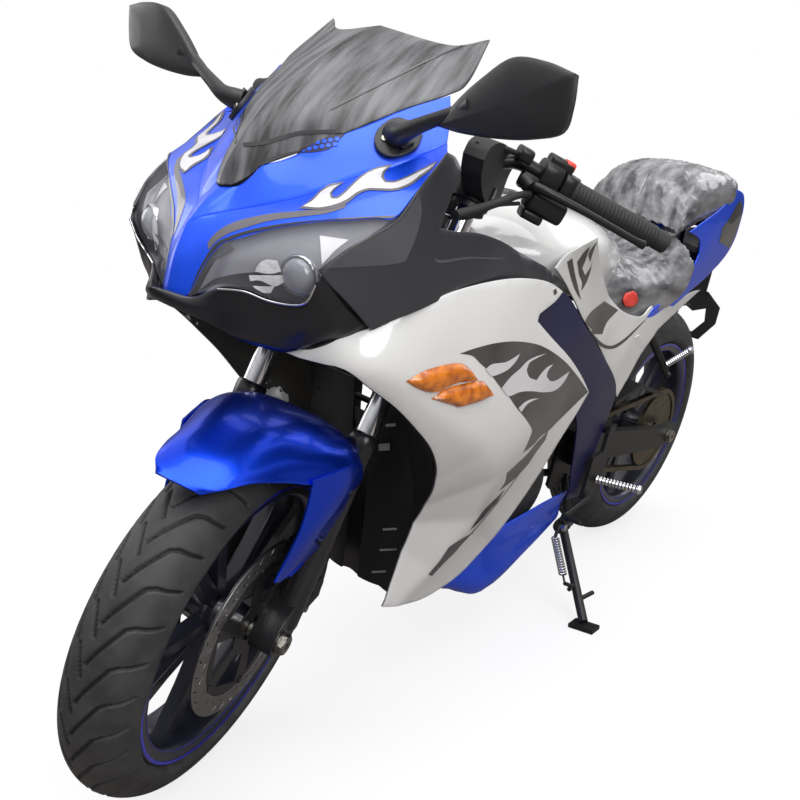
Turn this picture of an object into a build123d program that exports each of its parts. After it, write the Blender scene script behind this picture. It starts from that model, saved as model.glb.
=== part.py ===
from build123d import *
import math
import os

# A full-fairing sport bike of the small class, parked on its side stand with the bars on their left stop.
# Everything is drawn upright in millimetres: X forward from the rear axle, Y to the rider's left,
# Z up from the road. At the end each piece is steered and leaned to the parked pose.

# Driving dimensions
WHEELBASE = 1368.0
RAKE = 26.7
TRAIL = 93.0
LEAN = 10.9
STEER_STOP = 20.0
WALL = 4.0
GAP = 0.3
PIN_GAP = 0.05

# Wheels and tyres
RIM_SEAT_RADIUS = 217.0
RIM_FLANGE = 12.0
FRONT_TYRE_HEIGHT, REAR_TYRE_HEIGHT = 76.0, 97.0
FRONT_WIDTH, REAR_WIDTH = 110.0, 140.0
FRONT_SIDEWALL, REAR_SIDEWALL = 8.0, 14.0
FRONT_RIM_WIDTH, REAR_RIM_WIDTH = 82.0, 112.0
RIM_FLANGE_RADIUS = RIM_SEAT_RADIUS + RIM_FLANGE
FRONT_RADIUS = RIM_SEAT_RADIUS + FRONT_TYRE_HEIGHT
REAR_RADIUS = RIM_SEAT_RADIUS + REAR_TYRE_HEIGHT
BEAD_STEP = 7.0
RIM_LIP = 5.0
RIM_WALL = 10.0
HUB_RADIUS = 30.0
SPOKE_PAIRS = 5
SPOKE_SPLIT = 11.0
SPOKE_THICKNESS = 13.0
SPOKE_WIDTH = 26.0
SPOKE_SINK = 6.0

# Brakes, sprocket and axles
DISC_Y = 60.0
DISC_THICKNESS = 4.0
DISC_SLOT = 2.0
DISC_RIM_GAP = 5.0
DISC_BORE = 20.0
FRONT_DISC_RADIUS = 143.5
REAR_DISC_RADIUS = 110.0
DISC_BAND = 34.0
DISC_WINDOWS = 6
WINDOW_HALF, WINDOW_INNER = 22.0, 48.0
REAR_HUB_FACE = 78.0
SPROCKET_THICKNESS = 8.0
AXLE_RADIUS = 9.0
AXLE_BORE_RADIUS = 5.0
COLLAR_WALL = 6.0
NUT_LENGTH = 12.0
FRONT_LUG_INNER, FRONT_LUG_OUTER = 73.0, 114.0
LUG_RADIUS = 24.0
ARM_INNER, ARM_OUTER = 106.0, 132.0

# Steering: distances up the steering axis from the road, then sideways and ahead of it
FORK_SPACING = 99.0
FORK_OFFSET = 26.0
TUBE_RADIUS = 17.0
SLIDER_RADIUS = 22.0
STEM_RADIUS = 15.0
STEM_BORE_RADIUS = 8.0
HEAD_TUBE_RADIUS = 27.0
YOKE_THICKNESS, YOKE_WALL = 22.0, 11.0
BRIDGE_WALL = 7.0
LOWER_YOKE, UPPER_YOKE = 760.0, 1000.0
CHROME_LENGTH = 120.0
STEM_PROUD = 12.0
HEAD_GAP = 1.0
CLAMP_RISE, BAR_CLAMP_HEIGHT = 8.0, 26.0
TUBE_PROUD = 6.0
BAR_RADIUS = 11.0
ELBOW_STEP = Vector(-31, 66, 18)
GRIP_STEP = Vector(-123, 191, -28)
GRIP_LENGTH, GRIP_RADIUS, GRIP_CAP = 122.0, 17.0, 14.0
SWITCH_LENGTH, SWITCH_RADIUS = 46.0, 22.0
PERCH_LENGTH, PERCH_WALL = 22.0, 7.0
LEVER_REACH, LEVER_RISE, LEVER_ROOT = 62.0, 4.0, 16.0
LEVER_BEND, LEVER_TIP_IN = 40.0, 14.0
LEVER_RADIUS = 6.0
SLIDER_TOP = LOWER_YOKE - CHROME_LENGTH
HEAD_TUBE_LOW = LOWER_YOKE + YOKE_THICKNESS + HEAD_GAP
HEAD_TUBE_HIGH = UPPER_YOKE - HEAD_GAP
BAR_CLAMP = UPPER_YOKE + YOKE_THICKNESS + CLAMP_RISE
TUBE_TOP = BAR_CLAMP + BAR_CLAMP_HEIGHT + TUBE_PROUD

# Front mudguard stations: angle up from ahead, half width, crown above the tyre, drop at the edge
FENDER_STATIONS = (
    (61.0, 16.0, 37.0, 4.0),
    (66.0, 40.0, 38.0, 12.0),
    (74.0, 58.0, 39.0, 26.0),
    (86.0, 70.0, 40.0, 46.0),
    (98.0, 78.0, 40.0, 68.0),
    (110.0, 76.0, 38.0, 72.0),
    (124.0, 66.0, 32.0, 44.0),
)
# Outlines from the front axle: (ahead, up)
BLADE_INNER, BLADE_Y = 74.0, 104.0
BLADE_OUTLINE = ((-22, 257), (-79, 211), (23, 119), (-17, 105), (-100, 98), (-150, 200), (-134, 262))
BLADE_ROOT = ((-22, 257), (-92, 200), (-128, 214), (-134, 262))
SLEEVE_LOW, SLEEVE_HIGH, SLEEVE_WALL = 452.0, 600.0, 4.0
CALIPER_OUTLINE = ((-168, -25), (-106, -31), (-96, 37), (-98, 80), (-96, 110), (-146, 105), (-170, 37))
CALIPER_INNER, CALIPER_OUTER = 48.0, 95.0
# Rear caliper from the rear axle: (ahead, up)
REAR_CALIPER = ((24, 58), (66, 34), (96, 60), (92, 104), (50, 122), (22, 100))
REAR_CALIPER_INNER, REAR_CALIPER_FOOT = 72.0, 90.0
REAR_CALIPER_LEG = ((34, 4), (74, 4), (74, 48), (44, 60))

# Frame and swingarm
PIVOT_X, PIVOT_Z = 470.0, 384.0
PIVOT_RADIUS = 13.0
PIVOT_PLATE_Y, PIVOT_PLATE_HALF = 101.0, 4.0
PIVOT_PLATE = ((-30, -68), (70, -88), (86, -74), (70, 56), (30, 116), (-20, 106), (-40, 16))
SPAR_RADIUS, RAIL_RADIUS = 17.0, 11.0
SPAR_HEAD = Vector(-10, 14, 0)
SPAR_KNEE = (945.0, 70.0, 770.0)
SPAR_BEND = (760.0, 118.0, 640.0)
SPAR_FOOT = (40.0, 92.0)
RAIL_ROOT = (-40.0, -2.0, -30.0)
RAIL_KNEE, RAIL_END = (360.0, 92.0, 656.0), (-60.0, 78.0, 800.0)
STRUT_RISE, STRUT_END = 60.0, (250.0, 90.0, 696.0)
CROSS_TUBES = ((430.0, 646.0), (330.0, 664.0), (30.0, 770.0))
CROSS_HALF = 88.0
SHOCK_RADIUS = 27.0
SHOCK_CLEARANCE = 0.5
TYRE_CLEARANCE = 20.0
BRACE_LENGTH, BRACE_HEIGHT = 76.0, 38.0
BRACE_X = REAR_RADIUS + TYRE_CLEARANCE
BRACE_TOP = PIVOT_Z + 4
SHOCK_FOOT = (BRACE_X + 46, BRACE_TOP + 7)
ARM_REAR = ((40, 28), (-44, 24), (-52, -14), (-30, -24), (60, -22))
ARM_FRONT = ((-40, -38), (30, -34), (30, 34), (-30, 36))
PIVOT_PROUD = 6.0
HUGGER_INNER, HUGGER_WALL, HUGGER_HALF = 16.0, 4.0, 76.0
HUGGER_ANGLES = (24.0, 60.0, 100.0)
HUGGER_STAY = ((350, 60, 384), (285, 60, 470))

# Engine and drive
ENGINE_FLOOR, CRANKCASE_TOP = 273.0, 420.0
GEARBOX = ((560, -66), (622, 66))
CRANKCASE = ((620, -96), (900, 96))
CYLINDER = ((760, -84, 400), (940, 84, 640))
STARTER = ((640, -60, 410), (780, 60, 470))
COVER_CENTRE, COVER_RADIUS = Vector(700, 0, 352), 64.0
COVER_ROOT, ENGINE_COVER_Y = 90.0, 132.0
CHAIN_WIDTH, CHAIN_HEIGHT = 14.0, 12.0
CHAIN_SEAT = 1.0
REAR_SPROCKET_RADIUS = 108.0
FRONT_SPROCKET_RADIUS = 38.0
FRONT_SPROCKET_X, FRONT_SPROCKET_Z = 560.0, 372.0
GUARD_OUTLINE = ((60, 436), (210, 486), (330, 462), (330, 452), (210, 474), (60, 430))
GUARD_INNER, GUARD_REACH = 76.3, 30.0
SILENCER_FRONT, SILENCER_REAR = (430.0, -180.0, 275.0), (60.0, -196.0, 372.0)
SILENCER_RADIUS, PIPE_RADIUS = 50.0, 19.0
PIPE_PATH = ((480, -60, 257), (580, -40, 250), (966, -40, 248), (966, -40, 470))
PIPE_SEAT = 940.3

# Body fittings; those at the nose are measured from the front axle
CLUSTER = Vector(-268, 0, 1010)
CLUSTER_FACE = (-0.75, 0, 0.66)
CLUSTER_WIDTH, CLUSTER_HEIGHT, CLUSTER_CORNER, CLUSTER_DEPTH = 150.0, 84.0, 16.0, 34.0
MIRROR_FACE, MIRROR_DEPTH = -124.0, 26.0
MIRROR_OUTLINE = ((215, 1006), (303, 1087), (382, 1081), (378, 1024), (344, 1014))
MIRROR_STALK = ((-132, 178, 981.6), (-136, 205, 1012), (-140, 250, 1030))
MIRROR_STALK_RADIUS = 9.0
INDICATOR_ROOT, INDICATOR_Y = 200.0, 262.0
INDICATOR_BLADES = (
    ((-78, 726), (-174, 740), (-263, 705), (-186, 692)),
    ((-143, 687), (-188, 690), (-266, 700), (-272, 676), (-227, 664), (-158, 672)),
)
BRACKET_X, BRACKET_THICKNESS = -284.0, 4.0
BRACKET_OUTLINE = (
    (-30, 645), (30, 645), (74, 612), (74, 566), (38, 512), (-38, 512), (-74, 566), (-74, 612),
)
BRACKET_WINDOW = ((-36, 600), (0, 584), (36, 600), (42, 566), (14, 528), (-14, 528), (-42, 566))
BRACKET_ARM = ((-232, 806), (-262, 780), (-284, 700), (-284, 636), (-276, 636), (-276, 696), (-240, 780))
BRACKET_ARM_HALF = 24.0
HANGER_OUTLINE = (
    (444, 455), (472, 455), (478, 400), (520, 395), (528, 300), (500, 286), (470, 300), (448, 360),
)
HANGER_INNER, HANGER_OUTER = 168.0, 177.0
HANGER_BOLT, HANGER_BOLT_RADIUS = (458.0, 441.0), 9.0
RIDER_PEG, RIDER_PEG_RADIUS = ((489, 179.4, 338), (476, 278, 348)), 11.0
PASSENGER_HANGER = (290.0, 104.0, 657.0)
PASSENGER_ROOT = (164.0, 150.0, 512.0)
PASSENGER_PEG, PASSENGER_PEG_RADIUS = ((166, 152, 520), (148, 200, 600)), 12.0
PEDAL_PIVOT, PEDAL_ELBOW, PEDAL_TIP = (514, 184, 304), (612, 184, 288), (616, 226, 292)
PEDAL_BOSS, PEDAL_RADIUS = 8.0, 6.0

# Side stand
STAND_PIVOT = Vector(478, 122, 196)
STAND_FOOT_X, STAND_FOOT_Y = 600.0, 285.0
STAND_FOLDED = Vector(-0.98, 0.08, 0.18)
STAND_PIN_RADIUS, STAND_EYE_RADIUS, STAND_EYE_HALF = 6.0, 17.0, 9.0
STAND_LEG_RADIUS, STAND_LEG_START = 10.0, 14.0
STAND_PAD = (58.0, 34.0, 9.0)
STAND_TANGS = ((0.58, 42.0), (0.74, -46.0))
STAND_TANG_RADIUS = 5.0
STAND_LUG_RADIUS = 15.0
STAND_LUGS = ((-17.0, -10.0), (10.5, 25.0))
STAND_PIN_HALF = 13.0
STAND_BRACKET = (486.0, 316.0)

# Side panel stations: place, then (along, out) at the first edge, the middle and the last edge
WHITE_FAIRING = (
    (262, 1088, 150, 1108, 152, 1127, 150),
    (420, 965, 206, 1060, 212, 1150, 190),
    (580, 798, 244, 985, 254, 1174, 226),
    (612, 768, 247, 990, 256, 1195, 226),
    (690, 826, 248, 1040, 256, 1300, 214),
    (757, 878, 246, 1110, 252, 1409, 196),
    (800, 913, 240, 1060, 246, 1236, 226),
    (830, 1070, 240, 1090, 240, 1112, 238),
)
BLACK_COWL = (
    (891, 796, 213, 800, 215, 804, 213),
    (1009, 800, 226, 832, 226, 863, 212),
    (1091, 812, 230, 896, 224, 961, 176),
    (1160, 802, 226, 896, 220, 966, 186),
    (1265, 776, 214, 840, 212, 886, 200),
    (1340, 758, 198, 790, 199, 822, 190),
    (1400, 748, 180, 766, 183, 788, 177),
)
KNEE_PANEL = (
    (289, 480, 152, 510, 156, 545, 156),
    (400, 482, 160, 540, 166, 600, 164),
    (538, 484, 170, 590, 182, 690, 184),
    (610, 560, 180, 660, 190, 765, 194),
    (700, 660, 199, 760, 207, 850, 211),
    (786, 800, 207, 850, 212, 900, 213),
)
SEAT_COVER = (
    (50, 668, 112, 680, 113, 690, 112),
    (250, 610, 138, 650, 142, 686, 138),
    (420, 546, 156, 600, 160, 655, 158),
    (470, 543, 160, 620, 166, 690, 160),
    (600, 604, 172, 680, 176, 738, 164),
    (740, 704, 193, 750, 196, 790, 191),
)
TAIL_COWL = (
    (-229, 800, 80, 845, 84, 888, 78),
    (-93, 736, 96, 830, 104, 926, 92),
    (59, 694, 114, 800, 124, 908, 112),
    (243, 692, 138, 770, 146, 843, 134),
    (343, 692, 150, 700, 151, 712, 150),
)
INNER_FAIRING = (
    (230, 1000, 120, 1030, 90, 1050, 20),
    (400, 1000, 160, 1040, 100, 1052, 20),
    (600, 1010, 190, 1060, 110, 1070, 20),
)

# Nose, from the front axle: x, half width and z of the edge, half width and z of the crease, crown z
NOSE_BULGE = 0.1
NOSE = (
    (94, 20, 774, 10, 783, 786),
    (52, 62, 806, 30, 838, 845),
    (-6, 118, 858, 60, 893, 897),
    (-78, 168, 892, 110, 944, 948),
    (-129, 192, 916, 158, 986, 985),
    (-196, 202, 976, 186, 1042, 1022),
)
# Thin arches from the front axle: x, half width, edge z, crown z
SCREEN_WALL = 3.0
SCREEN = (
    (-12, 14, 906, 910),
    (-78, 84, 974, 1004),
    (-158, 130, 1040, 1066),
    (-252, 146, 1088, 1108),
    (-308, 136, 1112, 1114),
)
CHIN = (
    (-80, 194, 786, 742),
    (-20, 160, 780, 742),
    (12, 126, 776, 744),
    (52, 76, 772, 750),
    (94, 24, 772, 762),
)
# Belly trough: x, half width and z of the top edge, half width and z of the bottom corner
BELLY = (
    (522, 132, 300, 112, 222),
    (640, 144, 312, 120, 186),
    (780, 150, 312, 120, 141),
    (885, 146, 312, 112, 186),
    (985, 118, 300, 84, 216),
)
# Solid arches: x, half width, edge z, crown z, half width and z of the floor
HEADLIGHTS = (
    (-106, 193, 895, 914, 176, 800),
    (-8, 190, 850, 854, 152, 788),
    (32, 120, 812, 819, 92, 782),
    (68, 58, 784, 785.5, 44, 776),
)
TANK = (
    (398, 70, 770, 818, 62, 745),
    (500, 124, 770, 862, 116, 735),
    (667, 176, 790, 884, 168, 745),
    (846, 186, 812, 896, 178, 770),
    (945, 96, 822, 866, 88, 800),
)
SEAT_FRONT = (
    (150, 130, 790, 846, 122, 760),
    (220, 134, 760, 812, 126, 728),
    (330, 130, 744, 788, 122, 712),
    (392, 120, 742, 796, 112, 700),
)
SEAT_REAR = (
    (-100, 64, 904, 936, 56, 880),
    (-40, 88, 916, 956, 80, 886),
    (120, 106, 920, 972, 98, 884),
    (214, 106, 896, 930, 98, 866),
)
TAIL_LIGHT = (
    (-262, 40, 858, 872, 32, 812.3),
    (-225, 66, 868, 884, 58, 812.3),
)
TAIL_TRAY = (
    (-231.7, 60, 800, 812),
    (-60, 74, 770, 786),
    (40, 86, 730, 744),
)
STAY_RADIUS, TAB_RADIUS = 6.0, 4.0
ARM_RISE, ARM_RADIUS = 40.0, 12.0
MAST_SHARE, MAST_RADIUS = 0.16, 8.0

REAR_AXLE = Vector(0, 0, REAR_RADIUS)
FRONT_AXLE = Vector(WHEELBASE, 0, FRONT_RADIUS)
rake_sin, rake_cos = math.sin(math.radians(RAKE)), math.cos(math.radians(RAKE))
STEER_FOOT = Vector(WHEELBASE + TRAIL, 0, 0)
STEER_AXIS = Vector(-rake_sin, 0, rake_cos)
SLIDER_FOOT = TRAIL * rake_sin + FRONT_RADIUS * rake_cos + AXLE_RADIUS + COLLAR_WALL + 1
DISC_FACE = DISC_Y + DISC_THICKNESS
CHAIN_Y = REAR_HUB_FACE + SPROCKET_THICKNESS / 2

# Parked pose: the ground plane that both tyres touch once the bars are on their stop
STEER_LINE = Axis(tuple(STEER_FOOT), tuple(STEER_AXIS))


def steered(point, turn=STEER_STOP):
    """A point of the straight-ahead bike after the bars are turned to the left."""
    return Vertex(point.X, point.Y, point.Z).rotate(STEER_LINE, turn).center()


def ground_height(centre, axle, up, radius, width):
    """Height of the road under a leaning tyre, measured along the world's up direction."""
    crown = width / 2
    tilt = abs(up.dot(axle))
    return centre.dot(up) - (radius - crown) * math.sqrt(1 - tilt**2) - crown


def up_direction(pitch):
    """The world's up, seen from the bike, for a lean to the left and a small pitch."""
    lean, nose = math.radians(LEAN), math.radians(pitch)
    return Vector(math.sin(nose), -math.sin(lean) * math.cos(nose), math.cos(lean) * math.cos(nose))


front_centre = steered(FRONT_AXLE)
front_axle_line = steered(FRONT_AXLE + Vector(0, 1, 0)) - front_centre
pitch = 0.0
for step in range(6):
    UP = up_direction(pitch)
    rear_road = ground_height(REAR_AXLE, Vector(0, 1, 0), UP, REAR_RADIUS, REAR_WIDTH)
    front_road = ground_height(front_centre, front_axle_line, UP, FRONT_RADIUS, FRONT_WIDTH)
    pitch = pitch - math.degrees((front_road - rear_road) / WHEELBASE)
UP = up_direction(pitch)
ROAD = ground_height(REAR_AXLE, Vector(0, 1, 0), UP, REAR_RADIUS, REAR_WIDTH)
FORWARD = Vector(1, 0, 0) - UP * UP.X
PARKED_FRAME = Plane(origin=tuple(UP * ROAD), x_dir=tuple(FORWARD), z_dir=tuple(UP))

STAND_FOOT_Z = (ROAD - UP.X * STAND_FOOT_X - UP.Y * STAND_FOOT_Y) / UP.Z
STAND_FOOT = Vector(STAND_FOOT_X, STAND_FOOT_Y, STAND_FOOT_Z)
STAND_LEG = (STAND_FOOT - STAND_PIVOT).normalized()
STAND_AXIS = STAND_LEG.cross(STAND_FOLDED.normalized()).normalized()

FRAME, STEERING, FRONT_WHEEL, REAR_WHEEL, STAND = "frame", "steering", "front wheel", "rear wheel", "stand"
finished = []


def finish(builder, name, body):
    """Names a piece and keeps it with its body, to be parked and written at the end."""
    builder.part.label = name
    finished.append((name, body, builder.part))


def steer_point(along, ahead, side):
    """A point by its distance up the steering axis, ahead of it and to the left of it."""
    ahead_line = Vector(rake_cos, 0, rake_sin)
    return STEER_FOOT + STEER_AXIS * along + ahead_line * ahead + Vector(0, side, 0)


def mirrored(point, side):
    """A point as given for the left side, or across the bike for side -1."""
    x, y, z = tuple(point)
    return (x, y * side, z)


def sorted_pair(side, first, second):
    """Two distances to the left, or to the right for side -1, the lower one first."""
    return sorted((side * first, side * second))


def moved_outline(outline, datum):
    """An outline of (ahead, up) points, placed from an axle or pivot."""
    return [(datum.X + ahead, datum.Z + up) for ahead, up in outline]


def rod(start, end, radius, mode=Mode.ADD):
    """A round bar between two points."""
    run = Vector(*end) - Vector(*start)
    with BuildSketch(Plane(origin=tuple(start), z_dir=tuple(run))) as section:
        Circle(radius)
    extrude(section.sketch, amount=run.length, mode=mode)


def leg_rod(low, high, side, radius, mode=Mode.ADD):
    """A round bar along one fork leg, between two distances up the steering axis."""
    spacing = side * FORK_SPACING
    rod(steer_point(low, FORK_OFFSET, spacing), steer_point(high, FORK_OFFSET, spacing), radius, mode)


def bent_bar(points, radius, mode=Mode.ADD):
    """Round bars through a list of points, with a ball at each bend."""
    for start, end in zip(points, points[1:]):
        rod(start, end, radius, mode)
    for x, y, z in points[1:-1]:
        with Locations((x, y, z)):
            Sphere(radius, mode=mode)


def block(low, high):
    """A box between two opposite corners."""
    size = [b - a for a, b in zip(low, high)]
    centre = [(a + b) / 2 for a, b in zip(low, high)]
    with Locations(tuple(centre)):
        Box(*size)


def seated_rod(start, end, radius, panel):
    """The stretch of a round bar from its start to the near face of the panel that it carries."""
    run = Vector(*end) - Vector(*start)
    bar = Solid.make_cylinder(radius, run.length, Plane(origin=tuple(start), z_dir=tuple(run)))
    pieces = (bar - panel).solids()
    return min(pieces, key=lambda piece: (piece.center() - Vector(*start)).length)


def add_stays(stays):
    """Round stays on both sides from a table: start, a point beyond the panel, radius, panel."""
    for start, beyond, radius, panel in stays:
        for side in (1, -1):
            add(seated_rod(mirrored(start, side), mirrored(beyond, side), radius, panel))


def skin_section(low, middle, high, inward, plane):
    """One station of a curved panel: its outer arc and the same arc moved inward by the wall."""
    inner = [(p[0] + inward[0], p[1] + inward[1]) for p in (low, middle, high)]
    with BuildSketch(plane) as section:
        with BuildLine():
            ThreePointArc(low, middle, high)
            Line(high, inner[2])
            ThreePointArc(inner[2], inner[1], inner[0])
            Line(inner[0], low)
        make_face()
    return section.sketch


def side_panels(name, rows, by_height, wall=WALL, backward=0, stays=()):
    """A pair of side panels from stations: (place, first u, y, middle u, y, last u, y), u being x or z."""
    with BuildPart() as panel:
        for side in (1, -1):
            sections = []
            for place, first, first_y, middle, middle_y, last, last_y in rows:
                ends = [(first, first_y * side), (middle, middle_y * side), (last, last_y * side)]
                if by_height:
                    sections.append(skin_section(*ends, (-backward, -wall * side), Plane.XY.offset(place)))
                else:
                    turned = [(y, z) for z, y in ends]
                    sections.append(skin_section(*turned, (-wall * side, 0), Plane.YZ.offset(place)))
            loft(sections, ruled=True)
        add_stays(stays)
    finish(panel, name, FRAME)
    return panel.part


def side_plane(centre, y):
    """A sketch plane across Y, through a point's x and z, that faces the right."""
    return Plane(origin=(centre.X, y, centre.Z), x_dir=(1, 0, 0), z_dir=(0, -1, 0))


def ring(centre, y_low, y_high, outer, inner=0, mode=Mode.ADD):
    """A flat disc or ring about a line along Y."""
    with BuildSketch(side_plane(centre, y_high)) as section:
        Circle(outer)
        if inner:
            Circle(inner, mode=Mode.SUBTRACT)
    extrude(section.sketch, amount=y_high - y_low, mode=mode)


def side_plate(outline, y_low, y_high, mode=Mode.ADD):
    """A flat plate cut to an outline of (x, z) points."""
    with BuildSketch(Plane(origin=(0, y_high, 0), x_dir=(1, 0, 0), z_dir=(0, -1, 0))) as section:
        with BuildLine():
            Polyline(*outline, close=True)
        make_face()
    extrude(section.sketch, amount=y_high - y_low, mode=mode)


# Wheels: the profiles are turned about the axle, which lies along the bike's Y
WHEELS = (
    # name, body, axle, tyre radius, tyre width, sidewall height, rim width, hub half width
    ("front", FRONT_WHEEL, FRONT_AXLE, FRONT_RADIUS, FRONT_WIDTH, FRONT_SIDEWALL, FRONT_RIM_WIDTH, DISC_Y),
    ("rear", REAR_WHEEL, REAR_AXLE, REAR_RADIUS, REAR_WIDTH, REAR_SIDEWALL, REAR_RIM_WIDTH, REAR_HUB_FACE),
)
for name, body, axle, radius, width, sidewall, rim_width, hub in WHEELS:
    across = Plane(origin=tuple(axle), x_dir=(1, 0, 0), z_dir=(0, 0, 1))
    axle_line = Axis(tuple(axle), (0, 1, 0))
    half, bead = width / 2, rim_width / 2
    seat = RIM_SEAT_RADIUS + PIN_GAP
    heel = RIM_FLANGE_RADIUS + 1
    shoulder = heel + sidewall
    waist = heel + sidewall / 2
    with BuildPart() as tyre:
        with BuildSketch(across):
            with BuildLine():
                ThreePointArc((shoulder, half), (radius, 0), (shoulder, -half))
                ThreePointArc((shoulder, -half), (waist, 1 - half), (heel, -bead - BEAD_STEP))
                Polyline((heel, -bead - BEAD_STEP), (heel, 1 - bead), (seat, 1 - bead), (seat, bead - 1))
                Polyline((seat, bead - 1), (heel, bead - 1), (heel, bead + BEAD_STEP))
                ThreePointArc((heel, bead + BEAD_STEP), (waist, half - 1), (shoulder, half))
            make_face()
        revolve(axis=axle_line)
    finish(tyre, name + "_tyre", body)

    with BuildPart() as rim:
        with BuildSketch(across):
            with BuildLine():
                Polyline(
                    (RIM_SEAT_RADIUS, -bead),
                    (RIM_FLANGE_RADIUS, -bead - 1),
                    (RIM_FLANGE_RADIUS, -bead - RIM_LIP),
                    (RIM_SEAT_RADIUS - RIM_WALL, 1 - bead - RIM_LIP),
                    (RIM_SEAT_RADIUS - RIM_WALL - 2, bead + RIM_LIP - 1),
                    (RIM_FLANGE_RADIUS, bead + RIM_LIP),
                    (RIM_FLANGE_RADIUS, bead + 1),
                    (RIM_SEAT_RADIUS, bead),
                    close=True,
                )
            make_face()
        revolve(axis=axle_line)
        ring(axle, -hub, hub, HUB_RADIUS)
        with BuildSketch(side_plane(axle, SPOKE_WIDTH / 2)):
            for spoke in range(SPOKE_PAIRS):
                for split in (-SPOKE_SPLIT, SPOKE_SPLIT):
                    angle = 360 / SPOKE_PAIRS * spoke
                    with BuildLine():
                        root = Vector(HUB_RADIUS - SPOKE_SINK, 0).rotate(Axis.Z, angle + split / 3)
                        tip = Vector(RIM_SEAT_RADIUS - SPOKE_SINK, 0).rotate(Axis.Z, angle + split)
                        side_step = (tip - root).normalized().rotate(Axis.Z, 90) * SPOKE_THICKNESS / 2
                        corners = (root - side_step, tip - side_step, tip + side_step, root + side_step)
                        Polyline(*corners, close=True)
                    make_face()
        extrude(amount=SPOKE_WIDTH)
        ring(axle, -hub, hub, AXLE_RADIUS + PIN_GAP, mode=Mode.SUBTRACT)
    finish(rim, name + "_rim", body)


def brake_disc(centre, y_low, radius):
    """A brake disc with a row of windows between its carrier and its braking band."""
    band = radius - DISC_BAND
    ring(centre, y_low, y_low + DISC_THICKNESS, radius, DISC_BORE)
    for window in range(DISC_WINDOWS):
        turn = 360 / DISC_WINDOWS * window
        narrow = WINDOW_HALF - 8
        corners = ((WINDOW_INNER, -narrow), (band, -WINDOW_HALF), (band, WINDOW_HALF), (WINDOW_INNER, narrow))
        turned = [Vector(*corner).rotate(Axis.Z, turn) for corner in corners]
        outline = [(centre.X + point.X, centre.Z + point.Y) for point in turned]
        side_plate(outline, y_low, y_low + DISC_THICKNESS, Mode.SUBTRACT)


with BuildPart() as front_discs:
    for y in (DISC_Y, -DISC_FACE):
        brake_disc(FRONT_AXLE, y, FRONT_DISC_RADIUS)
finish(front_discs, "front_brake_discs", FRONT_WHEEL)

with BuildPart() as rear_disc:
    brake_disc(REAR_AXLE, -REAR_HUB_FACE - DISC_THICKNESS, REAR_DISC_RADIUS)
finish(rear_disc, "rear_brake_disc", REAR_WHEEL)

with BuildPart() as rear_sprocket:
    sprocket_radius = REAR_SPROCKET_RADIUS - CHAIN_HEIGHT / 2 - CHAIN_SEAT
    ring(REAR_AXLE, REAR_HUB_FACE, REAR_HUB_FACE + SPROCKET_THICKNESS, sprocket_radius, DISC_BORE)
finish(rear_sprocket, "rear_sprocket", REAR_WHEEL)


# Axles: hollow, with a collar on each side of the hub and a nut outside each leg
def axle_piece(name, centre, body, hub_face, leg_inner, leg_outer):
    """One axle from the faces of its hub and of the legs that hold it."""
    end, collar = leg_outer + NUT_LENGTH, AXLE_RADIUS + COLLAR_WALL
    with BuildPart() as axle:
        ring(centre, -end, end, AXLE_RADIUS)
        for side in (1, -1):
            ring(centre, *sorted_pair(side, hub_face + GAP, leg_inner - GAP), collar, AXLE_RADIUS - 2)
            ring(centre, *sorted_pair(side, leg_outer + GAP, end), collar, AXLE_RADIUS - 2)
        ring(centre, -end, end, AXLE_BORE_RADIUS, mode=Mode.SUBTRACT)
    finish(axle, name, body)


axle_piece("front_axle", FRONT_AXLE, STEERING, DISC_FACE, FRONT_LUG_INNER, FRONT_LUG_OUTER)
axle_piece("rear_axle", REAR_AXLE, FRAME, REAR_HUB_FACE + SPROCKET_THICKNESS, ARM_INNER, ARM_OUTER)

# Fork: chrome tubes between two yokes, black sliders and the axle lugs
with BuildPart() as fork_tubes:
    for side in (1, -1):
        leg_rod(SLIDER_TOP, TUBE_TOP, side, TUBE_RADIUS)
finish(fork_tubes, "fork_tubes", STEERING)

with BuildPart() as fork_sliders:
    for side in (1, -1):
        leg_rod(SLIDER_FOOT, SLIDER_TOP, side, SLIDER_RADIUS)
        ring(FRONT_AXLE, *sorted_pair(side, FRONT_LUG_INNER, FRONT_LUG_OUTER), LUG_RADIUS)
    reach = FORK_SPACING + SLIDER_RADIUS + WALL
    ring(FRONT_AXLE, -reach, reach, AXLE_RADIUS + PIN_GAP, mode=Mode.SUBTRACT)
finish(fork_sliders, "fork_sliders", STEERING)

# Yokes: a plate across both fork tubes, twice, joined by the hollow stem
with BuildPart() as yokes:
    for low in (LOWER_YOKE, UPPER_YOKE):
        underside = Plane(origin=tuple(steer_point(low, 0, 0)), x_dir=(0, 1, 0), z_dir=tuple(STEER_AXIS))
        with BuildSketch(underside):
            with Locations((FORK_SPACING, -FORK_OFFSET), (-FORK_SPACING, -FORK_OFFSET)):
                Circle(TUBE_RADIUS + YOKE_WALL)
            Rectangle(2 * FORK_SPACING, 2 * (FORK_OFFSET + BRIDGE_WALL))
            with Locations((FORK_SPACING, -FORK_OFFSET), (-FORK_SPACING, -FORK_OFFSET)):
                Circle(TUBE_RADIUS + PIN_GAP, mode=Mode.SUBTRACT)
        extrude(amount=YOKE_THICKNESS)
    stem_top = UPPER_YOKE + YOKE_THICKNESS + STEM_PROUD
    rod(steer_point(LOWER_YOKE, 0, 0), steer_point(stem_top, 0, 0), STEM_RADIUS)
    rod(steer_point(LOWER_YOKE, 0, 0), steer_point(stem_top, 0, 0), STEM_BORE_RADIUS, Mode.SUBTRACT)
finish(yokes, "yokes", STEERING)

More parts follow.
